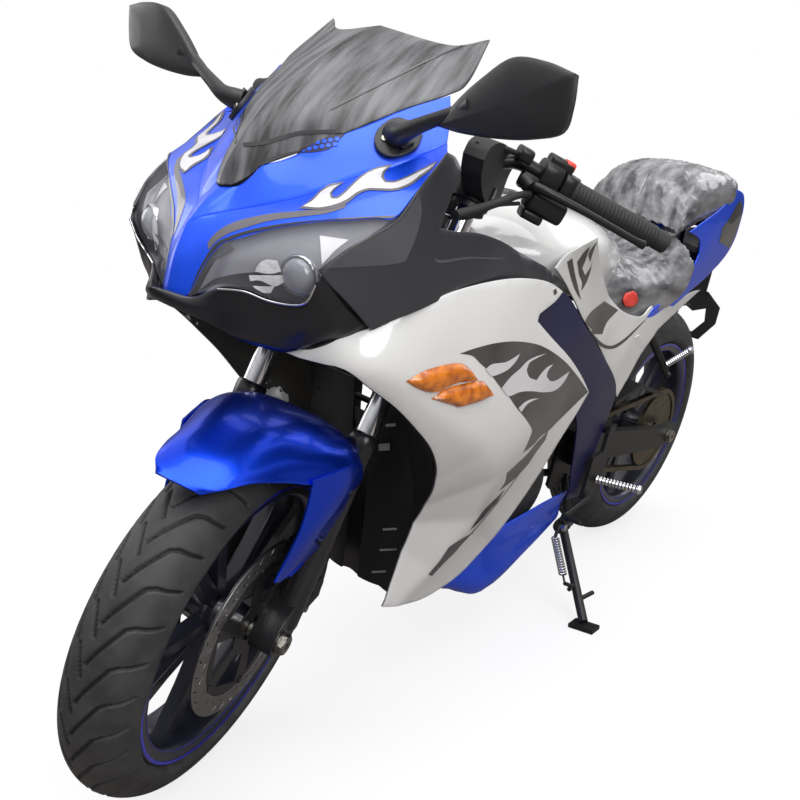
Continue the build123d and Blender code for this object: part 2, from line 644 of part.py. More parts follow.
# Bars: a clamp on each tube and a bar back to the grip
BAR_ROOT = steer_point(BAR_CLAMP + BAR_CLAMP_HEIGHT / 2, FORK_OFFSET, FORK_SPACING)
BAR_ELBOW = BAR_ROOT + ELBOW_STEP
GRIP_END = BAR_ELBOW + GRIP_STEP
grip_run = GRIP_STEP.normalized()
GRIP_START = GRIP_END - grip_run * GRIP_LENGTH
with BuildPart() as clip_on_bars:
    for side in (1, -1):
        leg_rod(BAR_CLAMP, BAR_CLAMP + BAR_CLAMP_HEIGHT, side, TUBE_RADIUS + YOKE_WALL)
        bent_bar([mirrored(point, side) for point in (BAR_ROOT, BAR_ELBOW, GRIP_END)], BAR_RADIUS)
        leg_rod(UPPER_YOKE, TUBE_TOP + BAR_RADIUS, side, TUBE_RADIUS + PIN_GAP, Mode.SUBTRACT)
finish(clip_on_bars, "clip_on_bars", STEERING)

with BuildPart() as grips:
    for side in (1, -1):
        start = mirrored(GRIP_START, side)
        rod(start, mirrored(GRIP_END + grip_run * GRIP_CAP, side), GRIP_RADIUS)
        rod(start, mirrored(GRIP_END, side), BAR_RADIUS + PIN_GAP, Mode.SUBTRACT)
finish(grips, "grips", STEERING)

switch_end = GRIP_START - grip_run * GAP
switch_start = switch_end - grip_run * SWITCH_LENGTH
with BuildPart() as switchgear:
    for side in (1, -1):
        rod(mirrored(switch_start, side), mirrored(switch_end, side), SWITCH_RADIUS)
        rod(mirrored(switch_start, side), mirrored(switch_end, side), BAR_RADIUS + PIN_GAP, Mode.SUBTRACT)
finish(switchgear, "switchgear", STEERING)

perch = switch_start - grip_run * (PERCH_LENGTH + GAP)
perch_end = perch + grip_run * PERCH_LENGTH
LEVER_PATH = (
    perch + grip_run * PERCH_LENGTH / 2 + Vector(LEVER_ROOT, 0, LEVER_RISE / 2),
    perch + Vector(LEVER_REACH, 0, LEVER_RISE) + grip_run * LEVER_BEND,
    GRIP_END + Vector(LEVER_REACH - LEVER_RISE, -LEVER_TIP_IN, LEVER_RISE / 2),
)
with BuildPart() as levers:
    for side in (1, -1):
        rod(mirrored(perch, side), mirrored(perch_end, side), BAR_RADIUS + PERCH_WALL)
        bent_bar([mirrored(point, side) for point in LEVER_PATH], LEVER_RADIUS)
        bore_start, bore_end = perch - grip_run * PERCH_LENGTH, perch_end + grip_run * LEVER_BEND
        rod(mirrored(bore_start, side), mirrored(bore_end, side), BAR_RADIUS + PIN_GAP, Mode.SUBTRACT)
finish(levers, "brake_and_clutch_levers", STEERING)

# Front mudguard: an arch over the tyre that narrows to the front, with a blade down each leg
with BuildPart() as front_mudguard:
    sections = []
    for angle, half, clearance, drop in FENDER_STATIONS:
        crown = FRONT_RADIUS + clearance
        outward = Vector(math.cos(math.radians(angle)), 0, math.sin(math.radians(angle)))
        along = Vector(0, 1, 0).cross(outward)
        station = Plane(origin=tuple(FRONT_AXLE), x_dir=(0, 1, 0), z_dir=tuple(along))
        edges = ((-half, crown - drop), (0, crown), (half, crown - drop))
        sections.append(skin_section(*edges, (0, -WALL), station))
    loft(sections, ruled=True)
    for side in (1, -1):
        side_plate(moved_outline(BLADE_OUTLINE, FRONT_AXLE), *sorted_pair(side, BLADE_Y - WALL, BLADE_Y))
        side_plate(moved_outline(BLADE_ROOT, FRONT_AXLE), *sorted_pair(side, BLADE_INNER, BLADE_Y))
        leg_rod(SLEEVE_LOW, SLEEVE_HIGH, side, SLIDER_RADIUS + SLEEVE_WALL)
        leg_rod(SLIDER_FOOT, TUBE_TOP, side, SLIDER_RADIUS + PIN_GAP, Mode.SUBTRACT)
finish(front_mudguard, "front_mudguard", STEERING)

with BuildPart() as front_calipers:
    for side in (1, -1):
        casting = moved_outline(CALIPER_OUTLINE, FRONT_AXLE)
        side_plate(casting, *sorted_pair(side, CALIPER_INNER, CALIPER_OUTER))
        slot = sorted_pair(side, DISC_Y - DISC_SLOT, DISC_FACE + DISC_SLOT)
        ring(FRONT_AXLE, *slot, FRONT_DISC_RADIUS + DISC_RIM_GAP, 0, Mode.SUBTRACT)
        leg_rod(SLIDER_FOOT, SLIDER_TOP, side, SLIDER_RADIUS + PIN_GAP, Mode.SUBTRACT)
finish(front_calipers, "front_calipers", STEERING)

with BuildPart() as rear_caliper:
    seat = GAP - ARM_INNER
    side_plate(moved_outline(REAR_CALIPER, REAR_AXLE), seat, -REAR_CALIPER_INNER)
    side_plate(moved_outline(REAR_CALIPER_LEG, REAR_AXLE), seat, -REAR_CALIPER_FOOT)
    slot = (-REAR_HUB_FACE - DISC_THICKNESS - DISC_SLOT, DISC_SLOT - REAR_HUB_FACE)
    ring(REAR_AXLE, *slot, REAR_DISC_RADIUS + DISC_RIM_GAP, 0, Mode.SUBTRACT)
finish(rear_caliper, "rear_caliper", FRAME)

# Body panels on each side, from the nose back
side_fairings = side_panels("side_fairings", WHITE_FAIRING, True)
COWL_STAYS = (
    ((1090, 227, 822), (1090, 300, 818), TAB_RADIUS, side_fairings),
    ((1280, 212, 780), (1280, 300, 770), TAB_RADIUS, side_fairings),
)
side_cowls = side_panels("side_cowls", BLACK_COWL, False, stays=COWL_STAYS)
knee_panels = side_panels("knee_panels", KNEE_PANEL, True)
seat_covers = side_panels("seat_covers", SEAT_COVER, False)
tail_cowls = side_panels("tail_cowls", TAIL_COWL, False)
inner_fairings = side_panels("inner_fairings", INNER_FAIRING, True, 0, WALL)


def thin_arch(name, rows, wall, datum=0):
    """A thin piece across the bike from stations: x, half width, edge z, crown z."""
    sections = []
    with BuildPart() as piece:
        for x, half, edge, crown in rows:
            arc = ((-half, edge), (0, crown), (half, edge))
            sections.append(skin_section(*arc, (0, -wall), Plane.YZ.offset(datum + x)))
        loft(sections, ruled=True)
    finish(piece, name, FRAME)
    return piece.part


def solid_arch(name, rows, datum=0, stays=()):
    """A solid piece across the bike: x, half width, edge z, crown z, half width and z of the floor."""
    sections = []
    with BuildPart() as piece:
        for x, half, edge, crown, floor_half, floor in rows:
            with BuildSketch(Plane.YZ.offset(datum + x)) as station:
                with BuildLine():
                    ThreePointArc((-half, edge), (0, crown), (half, edge))
                    Polyline((half, edge), (floor_half, floor), (-floor_half, floor), (-half, edge))
                make_face()
            sections.append(station.sketch)
        loft(sections, ruled=True)
        add_stays(stays)
    finish(piece, name, FRAME)
    return piece.part


windscreen = thin_arch("windscreen", SCREEN, SCREEN_WALL, WHEELBASE)

# Nose: two creased sides meeting at the crown, with tabs to the screen and the side cowls
NOSE_TABS = (
    ((WHEELBASE - 48, 24, 920), (WHEELBASE - 48, 24, 1100), TAB_RADIUS, windscreen),
    ((WHEELBASE - 158, 100, 990), (WHEELBASE - 158, 100, 1100), TAB_RADIUS, windscreen),
    ((WHEELBASE - 129, 188, 924), (WHEELBASE - 129, 198, 878), TAB_RADIUS, side_cowls),
)
with BuildPart() as nose:
    sections = []
    for x, half, edge, shoulder, shoulder_z, crown in NOSE:
        bulge = ((shoulder_z - edge) * NOSE_BULGE, (half - shoulder) * NOSE_BULGE)
        middle = ((half + shoulder) / 2 + bulge[0], (edge + shoulder_z) / 2 + bulge[1])
        outer = [(half, edge), middle, (shoulder, shoulder_z)]
        with BuildSketch(Plane.YZ.offset(WHEELBASE + x)) as station:
            with BuildLine():
                for side in (1, -1):
                    ends = [(side * y, z) for y, z in outer]
                    inner = [(side * (y - WALL / 2), z - WALL) for y, z in outer]
                    ThreePointArc(*ends)
                    Line(ends[2], (0, crown))
                    Line(ends[0], inner[0])
                    ThreePointArc(*inner)
                    Line(inner[2], (0, crown - WALL))
            make_face()
        sections.append(station.sketch)
    loft(sections, ruled=True)
    add_stays(NOSE_TABS)
nose_fairing = nose.part
finish(nose, "nose_fairing", FRAME)

with BuildPart() as belly_pan:
    sections = []
    for x, half, top, corner, low in BELLY:
        outer = [(half, top), (corner, low), (-corner, low), (-half, top)]
        floor = low + WALL
        inner = [(WALL - half, top), (WALL - corner, floor), (corner - WALL, floor), (half - WALL, top)]
        with BuildSketch(Plane.YZ.offset(x)) as station:
            with BuildLine():
                Polyline(*outer, *inner, close=True)
            make_face()
        sections.append(station.sketch)
    loft(sections, ruled=True)
finish(belly_pan, "belly_pan", FRAME)

nose_chin = thin_arch("nose_chin", CHIN, -WALL, WHEELBASE)
LAMP_STAYS = (
    ((WHEELBASE - 18, 60, 840), (WHEELBASE - 18, 60, 960), STAY_RADIUS, nose_fairing),
    ((WHEELBASE - 18, 80, 810), (WHEELBASE - 18, 80, 700), STAY_RADIUS, nose_chin),
)
headlights = solid_arch("headlights", HEADLIGHTS, WHEELBASE, LAMP_STAYS)
fuel_tank = solid_arch("fuel_tank", TANK)
seat_front = solid_arch("seat_front", SEAT_FRONT)
seat_rear = solid_arch("seat_rear", SEAT_REAR)
solid_arch("tail_light", TAIL_LIGHT)
tail_tray = thin_arch("tail_tray", TAIL_TRAY, WALL)

with BuildPart() as instrument_cluster:
    face = Plane(origin=(WHEELBASE + CLUSTER.X, CLUSTER.Y, CLUSTER.Z), x_dir=(0, 1, 0), z_dir=CLUSTER_FACE)
    with BuildSketch(face):
        RectangleRounded(CLUSTER_WIDTH, CLUSTER_HEIGHT, CLUSTER_CORNER)
    extrude(amount=-CLUSTER_DEPTH)
finish(instrument_cluster, "instrument_cluster", FRAME)

with BuildPart() as mirrors:
    for side in (1, -1):
        with BuildSketch(Plane.YZ.offset(WHEELBASE + MIRROR_FACE)):
            with BuildLine():
                Polyline(*[(side * y, z) for y, z in MIRROR_OUTLINE], close=True)
            make_face()
        extrude(amount=-MIRROR_DEPTH)
        bent_bar([(WHEELBASE + x, side * y, z) for x, y, z in MIRROR_STALK], MIRROR_STALK_RADIUS)
finish(mirrors, "mirrors", FRAME)

with BuildPart() as indicators:
    for side in (1, -1):
        for blade in INDICATOR_BLADES:
            outline = [(WHEELBASE + x, z) for x, z in blade]
            with BuildPart(mode=Mode.PRIVATE) as block_through:
                side_plate(outline, *sorted_pair(side, INDICATOR_ROOT, INDICATOR_Y))
            pieces = (block_through.part - side_fairings).solids()
            add(max(pieces, key=lambda piece: abs(piece.center().Y)))
finish(indicators, "front_indicators", FRAME)

# Plate bracket: a thin plate with a six-sided window under an arm from the tail
with BuildPart() as plate_bracket:
    with BuildSketch(Plane.YZ.offset(BRACKET_X)):
        for outline, mode in ((BRACKET_OUTLINE, Mode.ADD), (BRACKET_WINDOW, Mode.SUBTRACT)):
            with BuildLine():
                Polyline(*outline, close=True)
            make_face(mode=mode)
    extrude(amount=BRACKET_THICKNESS)
    side_plate(BRACKET_ARM, -BRACKET_ARM_HALF, BRACKET_ARM_HALF)
finish(plate_bracket, "plate_bracket", FRAME)

# Frame: head tube, two spars, pivot plates and the seat rails
PIVOT = Vector(PIVOT_X, 0, PIVOT_Z)
spar_head = steer_point((HEAD_TUBE_LOW + HEAD_TUBE_HIGH) / 2, 0, 0) + SPAR_HEAD
with BuildPart() as main_frame:
    rod(steer_point(HEAD_TUBE_LOW, 0, 0), steer_point(HEAD_TUBE_HIGH, 0, 0), HEAD_TUBE_RADIUS)
    spar_foot = (PIVOT_X + SPAR_FOOT[0], PIVOT_PLATE_Y, PIVOT_Z + SPAR_FOOT[1])
    rail_root = [bend + step for bend, step in zip(SPAR_BEND, RAIL_ROOT)]
    strut_root = (PIVOT_X, PIVOT_PLATE_Y, PIVOT_Z + STRUT_RISE)
    for side in (1, -1):
        bends = (spar_head, SPAR_KNEE, SPAR_BEND, spar_foot)
        bent_bar([mirrored(point, side) for point in bends], SPAR_RADIUS)
        plate = sorted_pair(side, PIVOT_PLATE_Y - PIVOT_PLATE_HALF, PIVOT_PLATE_Y + PIVOT_PLATE_HALF)
        side_plate(moved_outline(PIVOT_PLATE, PIVOT), *plate)
        bent_bar([mirrored(point, side) for point in (rail_root, RAIL_KNEE, RAIL_END)], RAIL_RADIUS)
        rod(mirrored(strut_root, side), mirrored(STRUT_END, side), RAIL_RADIUS)
    for x, z in CROSS_TUBES:
        rod((x, -CROSS_HALF, z), (x, CROSS_HALF, z), RAIL_RADIUS)
    cross_z = spar_foot[2] - 2
    rod((PIVOT_X, -PIVOT_PLATE_Y, cross_z), (PIVOT_X, PIVOT_PLATE_Y, cross_z), SPAR_RADIUS)
    half_pin = STAND_AXIS * STAND_PIN_HALF
    rod(STAND_PIVOT - half_pin, STAND_PIVOT + half_pin, STAND_PIN_RADIUS)
    for low, high in STAND_LUGS:
        rod(STAND_PIVOT + STAND_AXIS * low, STAND_PIVOT + STAND_AXIS * high, STAND_LUG_RADIUS)
    lug_top = STAND_PIVOT + STAND_AXIS * (STAND_LUGS[1][1] - 3)
    rod(lug_top, (STAND_BRACKET[0], PIVOT_PLATE_Y, STAND_BRACKET[1]), 9)
    stem_hole = (HEAD_TUBE_LOW - HEAD_GAP, HEAD_TUBE_HIGH + HEAD_GAP)
    hole_ends = [steer_point(along, 0, 0) for along in stem_hole]
    rod(*hole_ends, STEM_RADIUS + PIN_GAP, Mode.SUBTRACT)
    ring(PIVOT, -ARM_OUTER, ARM_OUTER, PIVOT_RADIUS + PIN_GAP, 0, Mode.SUBTRACT)
    add_stays(
        (
            # start on the frame, a point beyond the panel, radius, panel
            ((1000, 30, 780), (1000, 300, 780), STAY_RADIUS, side_fairings),
            ((720, 110, 610), (690, 300, 660), STAY_RADIUS, knee_panels),
            ((520, PIVOT_PLATE_Y, 430), (540, 300, 430), STAY_RADIUS, knee_panels),
            ((560, 90, 630), (560, 300, 660), STAY_RADIUS, seat_covers),
            ((300, 90, 662), (300, 300, 662), STAY_RADIUS, seat_covers),
            ((150, 84, 720), (150, 300, 740), STAY_RADIUS, tail_cowls),
            ((-40, 78, 796), (-40, 300, 800), STAY_RADIUS, tail_cowls),
            ((30, 40, 772), (30, 40, 1000), STAY_RADIUS, seat_rear),
            ((330, 40, 664), (330, 40, 900), STAY_RADIUS, seat_front),
            ((-40, 66, 796), (-40, 66, 700), STAY_RADIUS, tail_tray),
            ((900, 84, 735), (900, 84, 900), STAY_RADIUS, fuel_tank),
            ((560, 90, 632), (560, 90, 900), STAY_RADIUS, fuel_tank),
        )
    )
    # One arm reaches forward from the head tube to the lamp, and the instruments stand on it
    arm_x, _, lamp_edge, _, _, lamp_floor = HEADLIGHTS[0]
    head = steer_point(HEAD_TUBE_LOW + ARM_RISE, HEAD_TUBE_RADIUS - WALL, 0)
    lamp_back = Vector(WHEELBASE + arm_x, 0, (lamp_edge + lamp_floor) / 2)
    arm_run = lamp_back - head
    add(seated_rod(tuple(head), tuple(head + arm_run * 1.2), ARM_RADIUS, headlights))
    mast = head + arm_run * MAST_SHARE
    add(seated_rod(tuple(mast), (mast.X, 0, WHEELBASE), MAST_RADIUS, instrument_cluster.part))
finish(main_frame, "main_frame", FRAME)

# Engine: one plain block with its cylinder leaning forward and a round cover on each side
with BuildPart() as engine:
    for (rear, right), (front, left) in (GEARBOX, CRANKCASE):
        block((rear, right, ENGINE_FLOOR), (front, left, CRANKCASE_TOP))
    block(*CYLINDER)
    block(*STARTER)
    for side in (1, -1):
        ring(COVER_CENTRE, *sorted_pair(side, COVER_ROOT, ENGINE_COVER_Y), COVER_RADIUS)
    add_stays(
        (
            ((930, 76, 450), (1100, 76, 450), STAY_RADIUS, inner_fairings),
            ((920, 80, 500), (920, 300, 500), STAY_RADIUS, side_fairings),
            ((780, 80, 290), (780, 200, 262), STAY_RADIUS, belly_pan.part),
        )
    )
finish(engine, "engine", FRAME)

with BuildPart() as rear_shock:
    shock_head = CROSS_TUBES[0][1] - RAIL_RADIUS - SHOCK_CLEARANCE
    rod((SHOCK_FOOT[0], 0, SHOCK_FOOT[1]), (CROSS_TUBES[0][0], 0, shock_head), SHOCK_RADIUS)
finish(rear_shock, "rear_shock", FRAME)


# Chain: one closed loop round both sprockets
def loop_outline(grow):
    """The straight-sided loop round both sprockets, moved outward by grow."""
    front = Vector(FRONT_SPROCKET_X, FRONT_SPROCKET_Z)
    rear = Vector(REAR_AXLE.X, REAR_AXLE.Z)
    big, small = REAR_SPROCKET_RADIUS + grow, FRONT_SPROCKET_RADIUS + grow
    run = front - rear
    tilt = math.degrees(math.asin((big - small) / run.length))
    heading = math.degrees(math.atan2(run.Y, run.X))
    upper = Vector(1, 0).rotate(Axis.Z, heading + 90 - tilt)
    lower = Vector(1, 0).rotate(Axis.Z, heading - 90 + tilt)
    back = Vector(1, 0).rotate(Axis.Z, heading + 180)
    nose = Vector(1, 0).rotate(Axis.Z, heading)
    with BuildLine() as loop:
        Line(rear + upper * big, front + upper * small)
        ThreePointArc(front + upper * small, front + nose * small, front + lower * small)
        Line(front + lower * small, rear + lower * big)
        ThreePointArc(rear + lower * big, rear + back * big, rear + upper * big)
    return loop.edges()


with BuildPart() as chain:
    with BuildSketch(Plane(origin=(0, CHAIN_Y + CHAIN_WIDTH / 2, 0), x_dir=(1, 0, 0), z_dir=(0, -1, 0))):
        make_face(loop_outline(CHAIN_HEIGHT / 2))
        make_face(loop_outline(-CHAIN_HEIGHT / 2), mode=Mode.SUBTRACT)
    extrude(amount=CHAIN_WIDTH)
finish(chain, "chain", FRAME)

with BuildPart() as chain_guard:
    side_plate(GUARD_OUTLINE, GUARD_INNER, CHAIN_Y + GUARD_REACH)
finish(chain_guard, "chain_guard", FRAME)

with BuildPart() as rear_hugger:
    with BuildSketch(Plane(origin=(0, HUGGER_HALF, 0), x_dir=(1, 0, 0), z_dir=(0, -1, 0))):
        with BuildLine():
            inner = REAR_RADIUS + HUGGER_INNER
            turns = [math.radians(angle) for angle in HUGGER_ANGLES]
            arcs = [
                [(math.cos(turn) * radius, REAR_AXLE.Z + math.sin(turn) * radius) for turn in turns]
                for radius in (inner + HUGGER_WALL, inner)
            ]
            ThreePointArc(*arcs[0])
            Line(arcs[0][2], arcs[1][2])
            ThreePointArc(*reversed(arcs[1]))
            Line(arcs[1][0], arcs[0][0])
        make_face()
    extrude(amount=2 * HUGGER_HALF)
finish(rear_hugger, "rear_hugger", FRAME)

# Swingarm: two arms outside the chain, a brace ahead of the tyre and the pivot shaft
with BuildPart() as swingarm:
    arm = moved_outline(ARM_REAR, REAR_AXLE) + moved_outline(ARM_FRONT, PIVOT)
    for side in (1, -1):
        side_plate(arm, *sorted_pair(side, ARM_INNER, ARM_OUTER))
    block((BRACE_X, -ARM_INNER, BRACE_TOP - BRACE_HEIGHT), (BRACE_X + BRACE_LENGTH, ARM_INNER, BRACE_TOP))
    ring(PIVOT, -ARM_OUTER - PIVOT_PROUD, ARM_OUTER + PIVOT_PROUD, PIVOT_RADIUS)
    add_stays(((*HUGGER_STAY, STAY_RADIUS, rear_hugger.part),))
    ring(REAR_AXLE, -ARM_OUTER - WALL, ARM_OUTER + WALL, AXLE_RADIUS + PIN_GAP, 0, Mode.SUBTRACT)
finish(swingarm, "swingarm", FRAME)

# Right side: silencer and its pipe, as on others of the type
with BuildPart() as exhaust:
    rod(SILENCER_FRONT, SILENCER_REAR, SILENCER_RADIUS)
    bent_bar([SILENCER_FRONT, *PIPE_PATH], PIPE_RADIUS)
    port_x, port_y, port_z = PIPE_PATH[-1]
    rod((port_x, port_y, port_z), (PIPE_SEAT, port_y, port_z), PIPE_RADIUS)
finish(exhaust, "exhaust", FRAME)

# Foot pegs on their hangers
with BuildPart() as peg_hangers:
    bolt_x, bolt_z = HANGER_BOLT
    for side in (1, -1):
        side_plate(HANGER_OUTLINE, *sorted_pair(side, HANGER_INNER, HANGER_OUTER))
        bolt_start = (bolt_x, side * (PIVOT_PLATE_Y + PIVOT_PLATE_HALF + GAP), bolt_z)
        rod(bolt_start, (bolt_x, side * HANGER_INNER, bolt_z), HANGER_BOLT_RADIUS)
        rod(mirrored(PASSENGER_HANGER, side), mirrored(PASSENGER_ROOT, side), HANGER_BOLT_RADIUS)
        peg_hole = PASSENGER_PEG_RADIUS + PIN_GAP
        rod(mirrored(PASSENGER_PEG[0], side), mirrored(PASSENGER_PEG[1], side), peg_hole, Mode.SUBTRACT)
        rod(mirrored(strut_root, side), mirrored(STRUT_END, side), RAIL_RADIUS + PIN_GAP, Mode.SUBTRACT)
finish(peg_hangers, "peg_hangers", FRAME)

with BuildPart() as foot_pegs:
    for side in (1, -1):
        for (start, end), radius in ((RIDER_PEG, RIDER_PEG_RADIUS), (PASSENGER_PEG, PASSENGER_PEG_RADIUS)):
            rod(mirrored(start, side), mirrored(end, side), radius)
finish(foot_pegs, "foot_pegs", FRAME)

with BuildPart() as foot_levers:
    pedal_x, _, pedal_z = PEDAL_PIVOT
    for side in (1, -1):
        rod((pedal_x, side * (HANGER_OUTER + GAP), pedal_z), mirrored(PEDAL_PIVOT, side), PEDAL_BOSS)
        bent_bar([mirrored(point, side) for point in (PEDAL_PIVOT, PEDAL_ELBOW, PEDAL_TIP)], PEDAL_RADIUS)
finish(foot_levers, "gear_and_brake_pedals", FRAME)

# Side stand: the leg, its foot pad and two tangs, turning on a lug of the frame
with BuildPart() as side_stand:
    eye_foot = STAND_PIVOT - STAND_AXIS * STAND_EYE_HALF
    with BuildSketch(Plane(origin=tuple(eye_foot), z_dir=tuple(STAND_AXIS))):
        Circle(STAND_EYE_RADIUS)
        Circle(STAND_PIN_RADIUS + PIN_GAP, mode=Mode.SUBTRACT)
    extrude(amount=2 * STAND_EYE_HALF)
    pad_length, pad_width, pad_height = STAND_PAD
    leg_end = STAND_FOOT + UP * pad_height - STAND_LEG * PEDAL_RADIUS
    rod(STAND_PIVOT + STAND_LEG * STAND_LEG_START, leg_end, STAND_LEG_RADIUS)
    with BuildSketch(Plane(origin=tuple(STAND_FOOT), z_dir=tuple(UP))):
        Rectangle(pad_length, pad_width)
    extrude(amount=pad_height)
    for share, tang_reach in STAND_TANGS:
        root = STAND_PIVOT + (STAND_FOOT - STAND_PIVOT) * share
        rod(root, root + Vector(tang_reach, STAND_LEG_RADIUS, 6), STAND_TANG_RADIUS)
finish(side_stand, "side_stand", STAND)

# Park every piece and write it, with the origin under the middle of the whole
parked = []
for name, body, part in finished:
    if body in (STEERING, FRONT_WHEEL):
        part = part.rotate(STEER_LINE, STEER_STOP)
    local = part.moved(PARKED_FRAME.location.inverse())
    parked.append((name, body, local))
boxes = [part.bounding_box() for _, _, part in parked]
low = [min(tuple(box.min)[i] for box in boxes) for i in range(3)]
high = [max(tuple(box.max)[i] for box in boxes) for i in range(3)]
SHIFT = Vector(-(low[0] + high[0]) / 2, -(low[1] + high[1]) / 2, -low[2])

os.makedirs("parts", exist_ok=True)
for name, body, part in parked:
    part = part.moved(Location(SHIFT))
    part.label = name
    export_step(part, "parts/" + name + ".step")
print("nodes", len(parked), "size", [round(h - l, 1) for l, h in zip(low, high)], "shift", SHIFT)
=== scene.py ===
# Full-fairing sport bike on its side stand. All sizes are in bike millimetres: X ahead of the rear axle,
# Y to the rider's left, Z up from the road, with the bike upright and its bars straight.
import math

import bpy
import numpy as np
from mathutils import Matrix, Vector, bvhtree, geometry, noise


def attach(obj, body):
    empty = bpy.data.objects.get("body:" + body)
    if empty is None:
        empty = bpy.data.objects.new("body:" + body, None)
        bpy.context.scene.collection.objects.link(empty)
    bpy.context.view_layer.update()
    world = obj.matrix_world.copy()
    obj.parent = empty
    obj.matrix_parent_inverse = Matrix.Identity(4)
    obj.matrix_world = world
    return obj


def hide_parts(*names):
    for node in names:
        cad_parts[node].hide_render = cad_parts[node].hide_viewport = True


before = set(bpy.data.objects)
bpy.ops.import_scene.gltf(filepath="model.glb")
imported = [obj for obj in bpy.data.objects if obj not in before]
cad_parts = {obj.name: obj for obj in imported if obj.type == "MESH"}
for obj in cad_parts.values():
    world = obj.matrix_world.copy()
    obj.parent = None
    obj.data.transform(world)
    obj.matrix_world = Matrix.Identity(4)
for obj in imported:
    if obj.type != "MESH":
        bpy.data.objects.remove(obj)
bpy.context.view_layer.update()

# Viewpoint: a hand-held view from the front left, a little above the bars, in a picture 800 pixels square.
# The bike leans 10.9 degrees onto its stand, and the bars rest 20 degrees to the left.
UP = Vector((-0.0034224878, -0.1890943355, 0.9819529616))
FORWARD = Vector((0.9999882866, -0.0006471731, 0.0033607220))
parked = Matrix((FORWARD, UP.cross(FORWARD), UP)).to_4x4()
parked.translation = Vector((-0.6674660537, -0.1844486799, 0.0012647480))
RAKE_BACK, RAKE_UP, RAKE_FOOT = 0.4493189986, 0.8933713883, 1461
steering_foot = Vector((RAKE_FOOT / 1000, 0, 0))
steering_turn = Matrix.Rotation(math.radians(20), 4, Vector((-RAKE_BACK, 0, RAKE_UP)))
to_left_stop = Matrix.Translation(steering_foot) @ steering_turn @ Matrix.Translation(-steering_foot)

PHOTO_SIDE, FOCAL, AIM_ACROSS, AIM_DOWN = 800, 853.653, 457.466, 497.086
EYE = Vector((2068.1, 879.6, 1054.5))
view_right = Vector((-0.6053465, 0.7809616, 0.1538004))
view_down = Vector((0.2605974, 0.3770313, -0.8887836))
view_ahead = Vector((-0.7520935, -0.4979421, -0.4317512))
camera_data = bpy.data.cameras.new("photo_view")
camera_data.sensor_width = 36
camera_data.lens = FOCAL / PHOTO_SIDE * camera_data.sensor_width
camera_data.shift_x = 0.5 - AIM_ACROSS / PHOTO_SIDE
camera_data.shift_y = AIM_DOWN / PHOTO_SIDE - 0.5
camera = bpy.data.objects.new("photo_view", camera_data)
bpy.context.scene.collection.objects.link(camera)
camera_turn = Matrix((view_right, -view_down, -view_ahead)).transposed().to_4x4()
camera.matrix_world = parked @ Matrix.Translation(EYE / 1000) @ camera_turn
bpy.context.scene.camera = camera
bpy.context.scene.view_settings.view_transform = "Standard"


# Stage: a pale floor under a white sky, one wide soft lamp above and smaller ones at the sides. The camera
# sees the sky and floor white, while the bike mirrors a sky that darkens downwards over a dull floor.
def node(tree, kind, **values):
    """A new shader node with some of its inputs set."""
    made = tree.nodes.new("ShaderNode" + kind)
    for socket, value in values.items():
        made.inputs[socket.replace("_", " ")].default_value = value
    return made


def ramp(tree, *stops):
    """A colour ramp with a stop for each (position, colour)."""
    made = node(tree, "ValToRGB")
    for place, _ in stops[1:-1]:
        made.color_ramp.elements.new(place)
    for spot, (place, colour) in zip(made.color_ramp.elements, stops):
        spot.position, spot.color = place, (*colour, 1)
    return made


def wire(tree, *pairs):
    """Joins outputs to inputs."""
    for source, target in pairs:
        tree.links.new(source, target)


world = bpy.data.worlds.new("white_sky")
bpy.context.scene.world = world
world.use_nodes = True
sky = world.node_tree
sky.nodes.clear()
sky_out, sky_mix, sky_ray = node(sky, "OutputWorld"), node(sky, "MixShader"), node(sky, "LightPath")
sky_white, sky_soft = node(sky, "Background", Color=(1, 1, 1, 1)), node(sky, "Background", Strength=0.88)
heading, split, lift = node(sky, "TexCoord"), node(sky, "SeparateXYZ"), node(sky, "Math")
lift.operation = "MULTIPLY_ADD"
lift.inputs[1].default_value = lift.inputs[2].default_value = 0.5
heights = ramp(sky, (0.50, (0.05, 0.05, 0.05)), (0.60, (0.26, 0.27, 0.30)), (0.80, (1, 1, 1)))
wire(
    sky,
    (heading.outputs["Generated"], split.inputs[0]),
    (split.outputs["Z"], lift.inputs[0]),
    (lift.outputs[0], heights.inputs[0]),
    (heights.outputs[0], sky_soft.inputs["Color"]),
    (sky_ray.outputs["Is Camera Ray"], sky_mix.inputs[0]),
    (sky_soft.outputs[0], sky_mix.inputs[1]),
    (sky_white.outputs[0], sky_mix.inputs[2]),
    (sky_mix.outputs[0], sky_out.inputs[0]),
)

for lamp_name, place, aim, size, power in (
    ("overhead_sheet", (0.7, 0.9, 3.6), (0, 0, 0.5), 3.2, 72),
    ("left_sheet", (1.6, 3.4, 2.2), (0.2, 0, 0.5), 2.4, 72),
    ("right_sheet", (1.0, -3.0, 2.0), (0, 0, 0.5), 2.0, 22),
    ("rear_sheet", (-3.0, 0.6, 2.2), (0, 0, 0.6), 2.0, 14),
):
    lamp_data = bpy.data.lights.new(lamp_name, "AREA")
    lamp_data.shape, lamp_data.size, lamp_data.energy = "DISK", size, power
    lamp = bpy.data.objects.new(lamp_name, lamp_data)
    lamp.location = place
    lamp.rotation_euler = (Vector(aim) - Vector(place)).to_track_quat("-Z", "Y").to_euler()
    bpy.context.scene.collection.objects.link(lamp)

